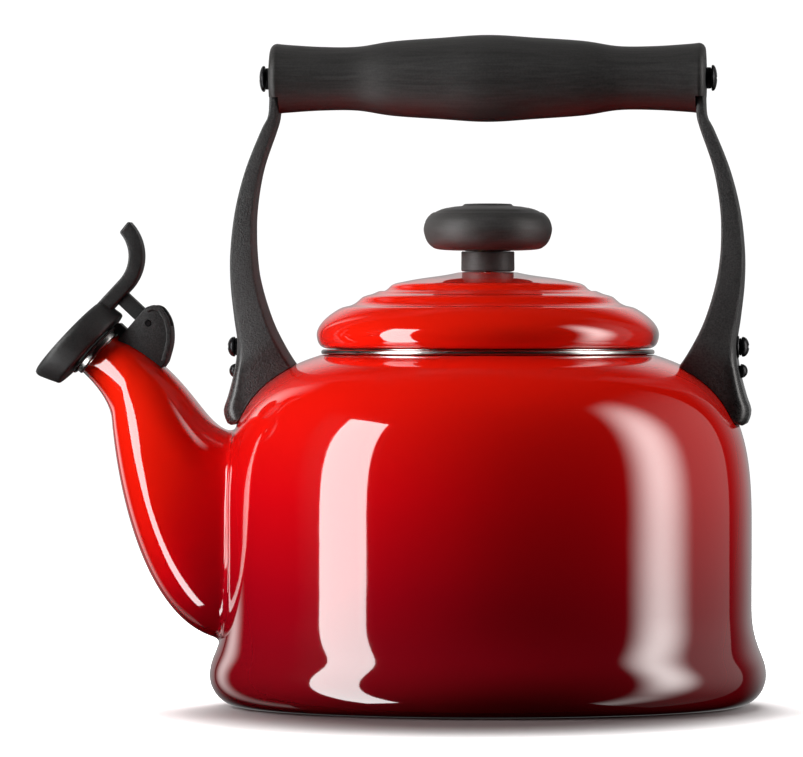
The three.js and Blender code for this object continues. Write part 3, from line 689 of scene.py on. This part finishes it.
def lid_outline():
    (r1, r2, r3), (z1, z2, z3) = ring_radii, ring_heights
    crown = [(stem_hole, lid_top), (stem_radius - 1, lid_top), (stem_radius + 1, lid_top - 0.15)]
    steps = [
        (stem_radius + 6, lid_top - 1.1), (r1 - 9, z1 + 1.9), (r1 - 3, z1 + 0.75), (r1 - 0.8, z1 + 0.25),
        (r1 + 0.6, z1 - 0.45), (r1 + 1.7, z1 - 1.5), (r1 + 3, z1 - 2.3), (r1 + 4.6, z2 + 2.05),
        (r2 - 3.4, z2 + 1.1), (r2 - 1.1, z2 + 0.45), (r2 + 0.2, z2 - 0.15), (r2 + 1.4, z2 - 1.2),
        (r2 + 2.6, z3 + 1.75), (r2 + 4.2, z3 + 1.0), (r3 - 2.6, z3 + 0.75), (r3 - 0.8, z3 + 0.3),
        (r3 + 0.6, z3 - 0.35),
    ]
    widest = (lid_radius, lid_edge + 4)
    skirt = bezier(steps[-1], (lid_radius - 2.2, z3 - 3.4), (lid_radius + 0.6, lid_edge + 7), widest, 12)
    low_roll = (lid_radius - 1.6, lid_edge + 0.1)
    roll = bezier(widest, (lid_radius - 0.3, lid_edge + 1.4), low_roll, (lid_radius - 4, lid_edge), 8)
    return crown + curve_through([crown[-1]] + steps, 90)[1:] + skirt[1:] + roll[1:]


lid_outside = lid_outline()
lid_inside = shifted(lid_outside, -lid_wall)
lid_inside[0] = (stem_hole, lid_top - lid_wall)
lid_inside[-1] = (lid_outside[-1][0], lid_edge + lid_wall)
lid_dome = turned("lid_dome", lid_outside + lid_inside[::-1], 144, len(lid_outside) - 1)
fit(lid_dome, "lid", "red_enamel", [red_enamel, dark_enamel], "lid_shell", crease=50)

collar_radius = rim_inner - 1
collar_low = rim_top - 11
flange = lid_edge + lid_wall + 0.3
collar_outline = [
    (collar_radius - 1, collar_low + 0.3), (collar_radius - 0.7, collar_low),
    (collar_radius - 0.3, collar_low), (collar_radius, collar_low + 0.3), (collar_radius, flange - 0.6),
    (collar_radius + 0.6, flange), (lid_radius - 3.4, flange), (lid_radius - 3.4, flange + 1),
    (collar_radius, flange + 1), (collar_radius - 1, flange),
]
fit(turned("lid_collar_ring", collar_outline, 128), "lid", "bright_steel", [bright_steel], "lid_collar")


# ---------------------------------------------------------------- knob
# A mushroom knob and its stem, moulded in black phenolic, with a raised disc on top inside a plain ring.
# A screw from under the lid goes into a brass insert and holds both.
knob_radius = 22.1
knob_height = 16.2
stem_low = lid_top + 0.25
knob_low = lid_top + 0.3 + 6.8 + 0.3
insert_bore = 4.1


def moulded_black(name, light, dark, stretch, grain):
    """Satin black phenolic, with faint streaks along the way it was turned or filled."""
    made, shader, start = finish(name, IOR=1.5, Coat_Weight=0.0)
    place = start.place()
    streaks = start.noise(place, 60, 5, stretch)
    dust = start.noise(place, 1500, 2)
    (streaks * 0.6 + dust * 0.4).ramp(0.3, 0.7).mix(dark, light).into(shader, "Base Color")
    (0.38 + streaks * 0.22 + dust * 0.08).into(shader, "Roughness")
    start.bump(streaks * 0.7 + dust * 0.3, grain).into(shader, "Normal")
    return made


knob_black = moulded_black("knob_black", (0.05, 0.047, 0.046), (0.028, 0.027, 0.026), (3, 3, 30), 0.0001)

side = curve_through(
    [
        (stem_radius + 0.8, 0.15), (stem_radius + 2, 0.0), (knob_radius - 5, 0.4), (knob_radius - 2.6, 1.5),
        (knob_radius - 0.95, 3.5), (knob_radius, 6.7), (knob_radius - 0.2, 8.9), (knob_radius - 1.1, 11.1),
        (knob_radius - 2.6, 12.7), (knob_radius - 3.6, 13.2),
    ],
    48,
)
crown = [
    (knob_radius - 3.8, 13.1), (knob_radius - 4.05, 13.15), (knob_radius - 4.4, 13.5),
    (knob_radius - 6, 14.2), (knob_radius - 8, 14.75), (knob_radius - 8.3, 14.65),
    (knob_radius - 8.6, 14.8), (knob_radius - 10.5, 15.15), (knob_radius - 12.9, 15.35),
    (knob_radius - 13.5, 15.5), (knob_radius - 13.8, 15.9), (knob_radius - 14.3, 16.1), (5, knob_height),
    (0, knob_height),
]
knob_outline = [
    (0, 9), (insert_bore, 9), (insert_bore, -0.2), (stem_radius - 1.5, -0.2), (stem_radius - 1.2, 0.15),
] + side + crown
knob_head = turned("knob_head", [(r, z + knob_low) for r, z in knob_outline], 112)
fit(knob_head, "lid", "satin_black", [knob_black], "knob", crease=40)

stem_outline = [
    (insert_bore, lid_top + 0.08), (stem_radius - 1.5, lid_top + 0.08),
    (stem_radius - 0.9, stem_low - 0.05), (stem_radius - 0.4, stem_low),
    (stem_radius - 0.05, stem_low + 0.3), (stem_radius, stem_low + 1), (stem_radius - 0.05, stem_low + 4),
    (stem_radius - 0.05, knob_low - 0.6), (stem_radius - 0.3, knob_low - 0.3),
    (insert_bore, knob_low - 0.3),
]
fit(turned("knob_stem", stem_outline, 96), "lid", "satin_black", [knob_black], "knob_neck")

brass, shader, start = finish("brass", Metallic=1.0)
place = start.place()
worn = start.noise(place, 300, 3)
worn.mix((0.55, 0.36, 0.13), (0.72, 0.52, 0.24)).into(shader, "Base Color")
(0.25 + worn * 0.2).into(shader, "Roughness")


def keep(node, material):
    """A CAD node that shows as it is, in its real material."""
    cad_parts[node].data.materials.clear()
    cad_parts[node].data.materials.append(material)


keep("knob_insert", brass)
keep("knob_washer", bright_steel)
keep("knob_screw", bright_steel)


# ---------------------------------------------------------------- spout mouth ring
# A spun stainless ring is pressed into the mouth. Its bead is the seat that the whistle flap shuts on.
# From here to the whistle, shapes are made about the mouth's own axis and then tilted into place.
ferrule_length = 3
ferrule_outer = mouth_radius + 0.7
ferrule_inner = mouth_radius - wall_thickness - 0.3 - 0.8
mouth_place = Matrix.Translation((mouth_x, 0, mouth_z)) @ Matrix.Rotation(mouth_tilt - math.pi / 2, 4, "Y")
ferrule_outline = [
    (ferrule_inner, -6), (ferrule_inner + 0.8, -6), (ferrule_inner + 0.8, 0.3),
    *arc(ferrule_outer - 0.5, 0.8, 0.5, -90, 0, 4), (ferrule_outer + 0.02, 1.6),
    *arc(ferrule_outer - 0.8, 2.45, 0.8, 0, 90, 6), (ferrule_inner + 0.4, 3.3),
    (ferrule_inner, 2.9),
]
satin_steel, shader, start = finish("satin_steel", Metallic=1.0)
rubbed = start.noise(start.place(), 160, 3)
rubbed.mix((0.5, 0.49, 0.48), (0.62, 0.61, 0.6)).into(shader, "Base Color")
(0.26 + rubbed * 0.1).into(shader, "Roughness")
mouth_ring = moved(turned("mouth_ring", ferrule_outline, 72), mouth_place)
fit(mouth_ring, "kettle", "bright_steel", [satin_steel], "spout_ferrule")


# ---------------------------------------------------------------- flap bracket
# Black nylon bracket clipped on the mouth ring: a thin ring, a nose over it, and a housing whose two
# cheeks hold the hinge pin and hide the spring. Its surface has a fine moulded grain.
hinge_up = 19.3
hinge_back = 5.2
pin_radius = 1.1
housing_width = 12.4
cheek_width = 2.2


def grained(name, dark, light, rough, depth, smooth_heel=False):
    """Black nylon with a moulded grain. The arms' heels, below their screws, are polished smooth."""
    made, shader, start = finish(name, IOR=1.5)
    place = start.place()
    grain = start.noise(place, 1900, 3)
    patches = start.noise(place, 45, 3)
    (grain * 0.75 + patches * 0.25).ramp(0.3, 0.72).mix(dark, light).into(shader, "Base Color")
    polish = 0
    if smooth_heel:
        x, z = (start.node("SeparateXYZ", {}, {0: place}, axis) for axis in (0, 2))
        polish = ((x * x) ** 0.5).ramp(0.08, 0.086) * (1 - z.ramp(0.118, 0.126))
    (rough + grain * 0.2 - polish * 0.3).into(shader, "Roughness")
    start.bump(grain * (1 - polish), depth).into(shader, "Normal")
    return made


bracket_black = grained("bracket_black", (0.012, 0.012, 0.012), (0.045, 0.045, 0.045), 0.46, 0.00012)


def box(x0, x1, y0, y1, z0, z1):
    corners = [(x, y, z) for x in (x0, x1) for y in (y0, y1) for z in (z0, z1)]
    faces = [(0, 1, 3, 2), (4, 6, 7, 5), (0, 4, 5, 1), (2, 3, 7, 6), (0, 2, 6, 4), (1, 5, 7, 3)]
    return shape("box", corners, faces)


def slab(name, outline, width, edge=0.0, segments=3):
    """An outline in the XZ plane made as wide as width along Y, with rounded edges."""
    count = len(outline)
    vertices = [(x, y, z) for y in (-width / 2, width / 2) for x, z in outline]
    faces = [tuple(range(count)), tuple(reversed(range(count, 2 * count)))]
    faces += [(i, i + count, (i + 1) % count + count, (i + 1) % count) for i in range(count)]
    made = shape(name, vertices, faces)
    return rounded(made, edge, segments) if edge else made


def rounded(piece, edge, segments=3, angle=30):
    step = piece.modifiers.new("edge", "BEVEL")
    step.width = edge * 0.001
    step.segments = segments
    step.limit_method = "ANGLE"
    step.angle_limit = math.radians(angle)
    step.use_clamp_overlap = True
    return settle(piece)


def rod(radius, low, high, steps=32):
    return turned("rod", [(0, low), (radius, low), (radius, high), (0, high)], steps)


hinge_place = Matrix.Translation((hinge_up, 0, -hinge_back)) @ Matrix.Rotation(math.pi / 2, 4, "X")


def hinge_rod(radius, half_length):
    return moved(rod(radius, -half_length, half_length), hinge_place)


def from_hinge(points):
    return [(hinge_up + up, out - hinge_back) for up, out in points]


ring_bore = ferrule_outer + 0.3
nose_top = ring_bore + 2.4
ring_outline = [
    (ring_bore, ferrule_length - 0.9), (ring_bore + 0.9, ferrule_length - 0.9),
    (ring_bore + 1.2, ferrule_length - 0.6), (ring_bore + 1.2, ferrule_length - 0.3),
    (ring_bore + 0.9, ferrule_length), (ring_bore, ferrule_length),
]
clip_ring = turned("clip_ring", ring_outline, 64)
nose_outline = [
    (ring_bore - 1, -1.7), (nose_top, -1.7), (nose_top, ferrule_length - 0.6),
    (nose_top - 0.8, ferrule_length), (ring_bore - 1, ferrule_length),
]
back_points = [(3.3, 4.3), (6.1, 2.6), (6.9, -0.4), (5.1, -5.4), (0.5, -10.2), (-5.7, -13.6)]
back = curve_through(from_hinge(back_points), 36)
housing_outline = from_hinge([(-13.3, 3.8), (1.7, 4.3)]) + back + from_hinge([(-8.3, -14), (-15.3, -8.8)])
housing = slab("flap_bracket", housing_outline, housing_width, 0.4, 3)
combine(housing, "UNION", slab("nose", nose_outline, 9, 0.4), clip_ring)
swing = housing_width / 2 - cheek_width
carve(
    housing,
    box(hinge_up - 3.7, hinge_up + 11, -swing, swing, -hinge_back - 6.2, 4),
    box(hinge_up - 6.7, hinge_up - 2.3, -2.4, 2.4, -hinge_back - 4.4, -hinge_back + 3.3),
    hinge_rod(pin_radius + 0.1, housing_width),
    rod(ring_bore, -2.2, ferrule_length + 2, 64),
)
moved(housing, mouth_place)
spout_room = loft("spout_room", [spout_ring(i / 24, -0.25, 48) for i in range(25)])
fit(carve(housing, spout_room), "kettle", "grained_black", [bracket_black], "whistle_bracket", crease=28)
for side, name in ((1, "left"), (-1, "right")):
    bead = slab("bracket_bead_" + name, shifted(back, 0.05) + shifted(back, -1.7)[::-1], 1.1, 0.4)
    moved(bead, mouth_place @ Matrix.Translation((0, side * (housing_width / 2 - 0.15), 0)))
    fit(bead, "kettle", "grained_black", [bracket_black], crease=28)

# The hinge pin is a plain blackened pin with rounded ends, nearly flush with the cheeks.
black_steel, shader, start = finish("black_steel", Metallic=0.75, IOR=1.5)
place = start.place()
rubbed = start.noise(place, 500, 3)
rubbed.ramp(0.35, 0.7).mix((0.016, 0.016, 0.017), (0.05, 0.05, 0.052)).into(shader, "Base Color")
(0.24 + rubbed * 0.2).into(shader, "Roughness")
start.bump(rubbed, 0.00005, 0.6).into(shader, "Normal")

pin_half = housing_width / 2 - 0.1
pin_outline = [(0, -pin_half), (pin_radius - 0.3, -pin_half), (pin_radius, -pin_half + 0.3)]
pin_outline += [(r, -z) for r, z in reversed(pin_outline)]
flap_pin = turned("flap_pin", pin_outline, 32)
moved(flap_pin, mouth_place @ hinge_place)
fit(flap_pin, "kettle", "bright_steel", [black_steel], "hinge_pin")

# The torsion spring is wound from thin wire round the pin. One leg presses the flap shut.
wire_radius = 0.35
coil_radius = 2.1
coil_turns = 3


def swept(name, points, radius, count=10):
    """A round wire along a line of points."""
    rings = []
    side = Vector((0, 1, 0))
    for i, point in enumerate(points):
        ahead = (points[min(i + 1, len(points) - 1)] - points[max(i - 1, 0)]).normalized()
        side = (side - ahead * side.dot(ahead)).normalized()
        other = ahead.cross(side)
        turns = [2 * math.pi * k / count for k in range(count)]
        rings.append([point + side * radius * math.cos(t) + other * radius * math.sin(t) for t in turns])
    return loft(name, rings)


coil = [Vector((hinge_up - coil_radius, -1.5, -hinge_back + z)) for z in (3, 2, 1)]
coil_steps = coil_turns * 24 + 6
for i in range(coil_steps + 1):
    t = 2 * math.pi * i / 24
    x, z = -coil_radius * math.cos(t), -coil_radius * math.sin(t)
    coil.append(Vector((hinge_up + x, -1.5 + 3 * i / coil_steps, -hinge_back + z)))
end = coil[-1]
leg_end = Vector((hinge_up - 5.2, 1.5, -hinge_back - coil_radius - 0.4))
coil += [end.lerp(leg_end, t) for t in (0.25, 0.5, 0.75, 1)]
flap_spring = moved(swept("flap_spring", coil, wire_radius), mouth_place)
fit(flap_spring, "kettle", "bright_steel", [bright_steel], "hinge_spring", crease=60)


# ---------------------------------------------------------------- whistle flap
# One black moulding: a thick round cap over the mouth, a curved thumb lever that stands up from it, and a
# flat link back to the hinge. Pressing the lever back opens the spout.
cap_radius = 17.2
cap_thickness = 9
cap_drop = 1.2
whistle_radius = 7.6
lever_radius = 14.6
lever_thickness = 5
lever_width = 10
cap_back = ferrule_length + 0.6
cap_front = cap_back + cap_thickness


def cap_ring(radius, drop, out, count=72):
    turns = [2 * math.pi * k / count for k in range(count)]
    return [(radius * math.cos(t) - cap_drop - drop, radius * math.sin(t), out) for t in turns]


cap_levels = [
    (-1.8, 0.1, 0), (-1.25, 0.15, 0.12), (-0.95, 0.22, 0.5), (-0.8, 0.3, 1.1), (-0.4, 1.0, 3.6),
    (0, 1.8, 6.6), (0.0, 1.95, 7.4), (-0.18, 2.1, 8.1), (-0.6, 2.25, 8.65), (-1.3, 2.35, 8.95),
    (-1.9, 2.4, 9),
]
cap_rings = [cap_ring(cap_radius + grow, drop, cap_back + out) for grow, drop, out in cap_levels]
lever_inner, lever_outer = lever_radius - lever_thickness / 2, lever_radius + lever_thickness / 2
lever_foot = 11.2
bend_up = 23.2
bend_out = cap_back + 6.4 + lever_radius


def lever_sweep(radius, first, last, count=24):
    turns = [math.radians(first + (last - first) * k / count) for k in range(count + 1)]
    return [(bend_up + radius * math.sin(t), bend_out - radius * math.cos(t)) for t in turns]


lever = slab(
    "lever",
    [(lever_foot, bend_out - lever_inner)]
    + lever_sweep(lever_inner, 0, 85.5)
    + lever_sweep(lever_outer, 88, 0)
    + [(lever_foot, bend_out - lever_outer)],
    lever_width,
    1.3,
    4,
)
link_half = lever_thickness / 2
link_end = from_hinge(arc(0, 0, link_half, 180, 360, 16))
link_out = bend_out - lever_inner - 1
link = slab(
    "link",
    link_end + [(hinge_up + link_half, link_out), (hinge_up - link_half, link_out)],
    housing_width - 2 * cheek_width - 0.6,
    0.4,
    2,
)
outlet_outline = [
    (0, cap_back - 1), (whistle_radius - 2, cap_back - 1), (whistle_radius - 2, cap_front - 1.2),
    (whistle_radius - 1.2, cap_front - 0.2), (whistle_radius - 0.6, cap_front + 1), (0, cap_front + 1),
]
flap = loft("flap", cap_rings)
combine(flap, "UNION", lever, link)
carve(
    flap,
    box(hinge_up - 4, hinge_up + 4, -2.1, 2.1, -hinge_back - 4, -hinge_back + 3.4),
    hinge_rod(pin_radius + 0.2, housing_width),
    rod(whistle_radius + 0.3, cap_back - 1, cap_back + 4, 64),
    turned("outlet", outlet_outline, 64),
)
moved(flap, mouth_place)
flap_black = grained("flap_black", (0.014, 0.014, 0.014), (0.03, 0.03, 0.03), 0.4, 0.00005)
fit(flap, "whistle", "grained_black", [flap_black], "whistle_cap", crease=28)

# The whistle is two drilled steel plates kept apart by a ring.
hole_radius = 1.5


def whistle_plate(name, low):
    outline = [
        (hole_radius, low + 0.1), (hole_radius + 0.2, low), (whistle_radius - 0.3, low),
        (whistle_radius, low + 0.3), (whistle_radius - 0.1, low + 0.7), (hole_radius + 1.6, low + 0.7),
        (hole_radius + 0.2, low + 0.6), (hole_radius, low + 0.5),
    ]
    return moved(turned(name, outline, 56), mouth_place)


for place, low in (("inner", cap_back + 0.2), ("outer", cap_back + 2.8)):
    plate = whistle_plate("plate_" + place, low)
    fit(plate, "whistle", "bright_steel", [bright_steel], "whistle_plate_" + place)
keep("whistle_spacer", bright_steel)


# ---------------------------------------------------------------- grip
# Turned black phenolic grip, thick in the middle and waisted towards both ends. Each end has a slot, open
# below, for the tab of an arm, and a brass insert for its screw.
grip_height = body_height + 95.2
grip_half = 75.1
tab_thickness = 3
tab_rise = 6.5
arm_top_width = 14.5
along_x = Matrix.Rotation(math.pi / 2, 4, "Y")
grip_light = (0.036, 0.034, 0.033)
grip_dark = (0.017, 0.0165, 0.016)
grip_black = moulded_black("grip_black", grip_light, grip_dark, (0.5, 24, 24), 0.00012)

grip_half_side = [(14, 17), (12.85, 33), (11.05, 45), (11, 57)]
grip_half_side += [(11.7, grip_half - 6.4), (12.1, grip_half - 2.4)]
grip_side = curve_through([(r, -x) for r, x in reversed(grip_half_side)] + [(15, 0)] + grip_half_side, 120)
grip_end = [(y, x) for x, y in arc(grip_half - 2.4, 9.7, 2.4, 90, 0, 8)][1:]
grip_start = [(r, -x) for r, x in reversed(grip_end)]
grip_line = [(0, -grip_half), *grip_start, *grip_side, *grip_end, (0, grip_half)]
handle_grip = moved(turned("handle_grip", grip_line, 96), Matrix.Translation((0, 0, grip_height)) @ along_x)
slot_floor = grip_half - tab_thickness - 0.3
slot_side = arm_top_width / 2 + 0.3
tools = []
for end in (1, -1):
    x0, x1 = sorted((end * slot_floor, end * (grip_half + 5)))
    tools.append(box(x0, x1, -slot_side, slot_side, grip_height - 30, grip_height + tab_rise + 0.3))
    tools.append(box(x0, x1, -30, 30, grip_height - 30, grip_height - tab_rise))
    facing_end = Matrix.Translation((0, 0, grip_height)) @ Matrix.Rotation(end * math.pi / 2, 4, "Y")
    tools.append(moved(rod(3.9, slot_floor - 20, grip_half), facing_end))
fit(carve(handle_grip, *tools), "kettle", "satin_black", [grip_black], "grip", crease=35)


# ---------------------------------------------------------------- handle arms
# Two black moulded arms run from the grip's ends down to the shoulder. Each is flat on its sides, crowned on
# the inner face and flared to a fishtail foot with a thick rounded heel that hugs the body.
grip_rise = 95.2
arm_foot_width = 30
arm_taper = 0.82


def arm_point(share, out, up):
    """A point out and up from a place between the top of the body's wall, 0, and the grip's end, 1."""
    return (body_radius + share * (grip_half - body_radius) + out, body_height + share * grip_rise + up)


arm_outer = curve_through(
    [arm_point(1, 0, tab_rise), arm_point(1, 0, -3)]
    + [
        arm_point(*p)
        for p in [
            (1, 0, -8.4), (1, 0.5, -13.4), (1, 2.8, -17.9), (0.67, 2.9, 0.2), (0.53, 4.2, -0.3),
            (0.38, 3.4, 0.2), (0.26, 1.4, 0), (0.13, -2, 0.4), (0, -5.2, 4.8), (0, -4.9, -1.2),
            (0, -3.7, -7.7), (0, -1.9, -14.2), (0, -0.4, -18.8), (0, -1.1, -22.4), (0, -2.6, -24.2),
            (0, -6, -23.4),
        ]
    ],
    160,
)
arm_inner = curve_through(
    [arm_point(1, -tab_thickness, tab_rise), arm_point(1, -tab_thickness, -3)]
    + [
        arm_point(*p)
        for p in [
            (1, -tab_thickness, -8.4), (1, -tab_thickness, -12.9), (1, -1.7, -17.9), (0.67, -2.4, 0.2),
            (0.53, -2.25, -0.3), (0.41, -3.95, -0.2), (0.27, -7.8, 0.1), (0.13, -14, -0.2), (0, -21.1, 1.9),
            (0, -26.2, -5.6), (0, -31, -11),
        ]
    ],
    160,
)


def arm_width(z):
    share = (z - body_height) / grip_rise / arm_taper
    return arm_top_width + (arm_foot_width - arm_top_width) * min(max(1 - share, 0), 1) ** 1.8


def arm_section(outer, inner, wide):
    """A rounded section from the outer to the inner edge. wide grows from 0 at the grip to 1 at the foot."""
    across = Vector((inner[0] - outer[0], inner[1] - outer[1]))
    depth = across.length
    across.normalize()
    half = arm_width((outer[1] + inner[1]) / 2) / 2
    outer_round = min(0.46 * depth, 1.2 + 4.6 * wide**2)
    inner_round = min(0.4 * depth, 1.1)
    crown = 0.9 * min(wide * 3, 1)
    face = half - inner_round
    section = arc(outer_round, -half + outer_round, outer_round, 180, 270, 8)
    section += arc(depth - inner_round, -half + inner_round, inner_round, 270, 360, 4)
    section += [(depth, -face + 2 * face * k / 8) for k in range(1, 8)]
    section += arc(depth - inner_round, half - inner_round, inner_round, 0, 90, 4)
    section += arc(outer_round, half - outer_round, outer_round, 90, 180, 8)
    ring = []
    for s, y in section:
        s -= crown * (y / half) ** 2 * (s / depth) ** 4
        ring.append((outer[0] + across.x * s, y, outer[1] + across.y * s))
    return ring


stations = 84
outer_line = even(arm_outer, stations)
inner_line = even(arm_inner, stations)
arm_rings = []
for i, (outer, inner) in enumerate(zip(outer_line, inner_line)):
    low = max((body_height + 40 - (outer[1] + inner[1]) / 2) / 50, 0)
    arm_rings.append(arm_section(outer, inner, min(low, 1)))


def reach_at(line, height):
    for (x0, z0), (x1, z1) in zip(line, line[1:]):
        if z1 < height <= z0:
            return x0 + (x1 - x0) * (z0 - height) / (z0 - z1)


lug_x = body_radius - 12.9
shoulder_height = next(z for z, r in reversed(body_line) if r >= lug_x)
stud_height = shoulder_height + 6.0
screw_height = stud_height + 8.3
seat_x = reach_at(arm_outer, screw_height) - 0.3
stud_seat = reach_at(arm_outer, stud_height) + 0.3
body_room = shifted(body_outline(), -0.22)
body_room = [(0, -0.22), (body_room[0][0], -0.22)] + body_room[1:] + [(0, body_room[-1][1])]


def along_arm(piece, height):
    return moved(piece, Matrix.Translation((0, 0, height)) @ along_x)


arm = loft("handle_arm_rear", arm_rings)
lug_top = screw_height + 5.6
carve(
    arm,
    turned("body_room", body_room, 128),
    box(lug_x - 0.3, lug_x + 3.3, -7.3, 7.3, body_height - 31, lug_top),
    box(lug_x - 3.3, lug_x, -4.9, 4.9, body_height - 31, screw_height),
    along_arm(rod(4.9, lug_x - 3.3, lug_x + 0.5), screw_height),
    along_arm(rod(2.2, lug_x, 100), screw_height),
    along_arm(rod(4.4, seat_x, 100, 40), screw_height),
    along_arm(rod(2.2, lug_x, 100), stud_height),
    along_arm(rod(2.7, stud_seat - 0.3, 100), stud_height),
    along_arm(rod(2.2, grip_half - 15, grip_half + 15), grip_height),
)
front_arm = bpy.data.objects.new("handle_arm_front", arm.data.copy())
bpy.context.scene.collection.objects.link(front_arm)
half_turn = Matrix.Rotation(math.pi, 4, "Z")
moved(front_arm, half_turn)
arm_black = grained("arm_black", (0.014,) * 3, (0.055,) * 3, 0.48, 0.00024, smooth_heel=True)
fit(arm, "kettle", "grained_black", [arm_black], "arm_rear", crease=40)
fit(front_arm, "kettle", "grained_black", [arm_black], "arm_front", crease=40)


# ---------------------------------------------------------------- fasteners
# Blackened steel screws with domed heads and cross recesses: one with a thick washer in each end of the
# grip, and one with a flat and a lock washer in each foot, above the domed stud that locates it.
shank_radius = 2


def washer(name, radius, low, thick):
    e = min(thick * 0.25, 0.25)
    bore = shank_radius + 0.2
    outline = [
        (bore, low), (radius - e, low), (radius, low + e), (radius, low + thick - e),
        (radius - e, low + thick), (bore, low + thick),
    ]
    return turned(name, outline, 40)


def screw(name, shank_low, head_low, radius, height):
    """A domed head on a plain shank, with a cross recess."""
    dome = [(radius - 0.25, head_low), (radius, head_low + 0.25), (radius, head_low + 0.45)]
    for k in range(1, 9):
        t = math.radians(90 * k / 8)
        dome.append((radius * math.cos(t), head_low + 0.45 + (height - 0.45) * math.sin(t)))
    dome[-1] = (0, head_low + height)
    made = turned(name, [(0, shank_low), (shank_radius, shank_low), (shank_radius, head_low)] + dome, 48)
    reach = radius * 0.5
    arms = [box(-reach, reach, -0.45, 0.45, head_low + height - 1.1, head_low + height + 1)]
    arms.append(box(-0.45, 0.45, -reach, reach, head_low + height - 1.1, head_low + height + 1))
    return carve(made, *arms)


for end, turn in (("rear", Matrix.Identity(4)), ("front", half_turn)):
    grip_place = turn @ Matrix.Translation((0, 0, grip_height)) @ along_x
    foot_place = turn @ Matrix.Translation((0, 0, screw_height)) @ along_x
    stud_place = turn @ Matrix.Translation((0, 0, stud_height)) @ along_x
    seat = grip_half + 0.15
    fit(moved(washer("grip_washer_" + end + "_ring", 3.7, seat, 1.7), grip_place), "kettle", "black_steel",
        [black_steel], "grip_washer_" + end)
    head = moved(screw("grip_end_screw_" + end, grip_half - 17, seat + 1.85, 4.5, 1.9), grip_place)
    fit(head, "kettle", "black_steel", [black_steel], "grip_screw_" + end)
    seat = seat_x + 0.3
    fit(moved(washer("foot_washer_" + end, 3.8, seat, 0.9), foot_place), "kettle", "black_steel",
        [black_steel], "handle_washer_" + end)
    fit(moved(washer("foot_lock_washer_" + end, 3.0, seat + 1.0, 0.7), foot_place), "kettle", "black_steel",
        [black_steel], "lock_washer_" + end)
    head = moved(screw("foot_screw_" + end, lug_x - 1, seat + 1.8, 3.45, 2.6), foot_place)
    fit(head, "kettle", "black_steel", [black_steel], "handle_screw_" + end)
    turns = [math.radians(10 * k) for k in range(9)]
    dome = [(2.4 * math.cos(t), stud_seat + 0.35 + 2.15 * math.sin(t)) for t in turns]
    stud_line = [(0, lug_x + 0.6), (1.9, lug_x + 0.6), (1.9, stud_seat), (2.3, stud_seat + 0.05)] + dome
    stud = moved(turned("foot_stud_" + end, stud_line + [(0, stud_seat + 2.5)], 40), stud_place)
    fit(stud, "kettle", "black_steel", [black_steel], "locating_stud_" + end)
    keep("grip_insert_" + end, brass)
    keep("handle_lug_" + end, bright_steel)


# ---------------------------------------------------------------- sizes
# The size of what shows, found the same way as the imported model's size.
low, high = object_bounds()
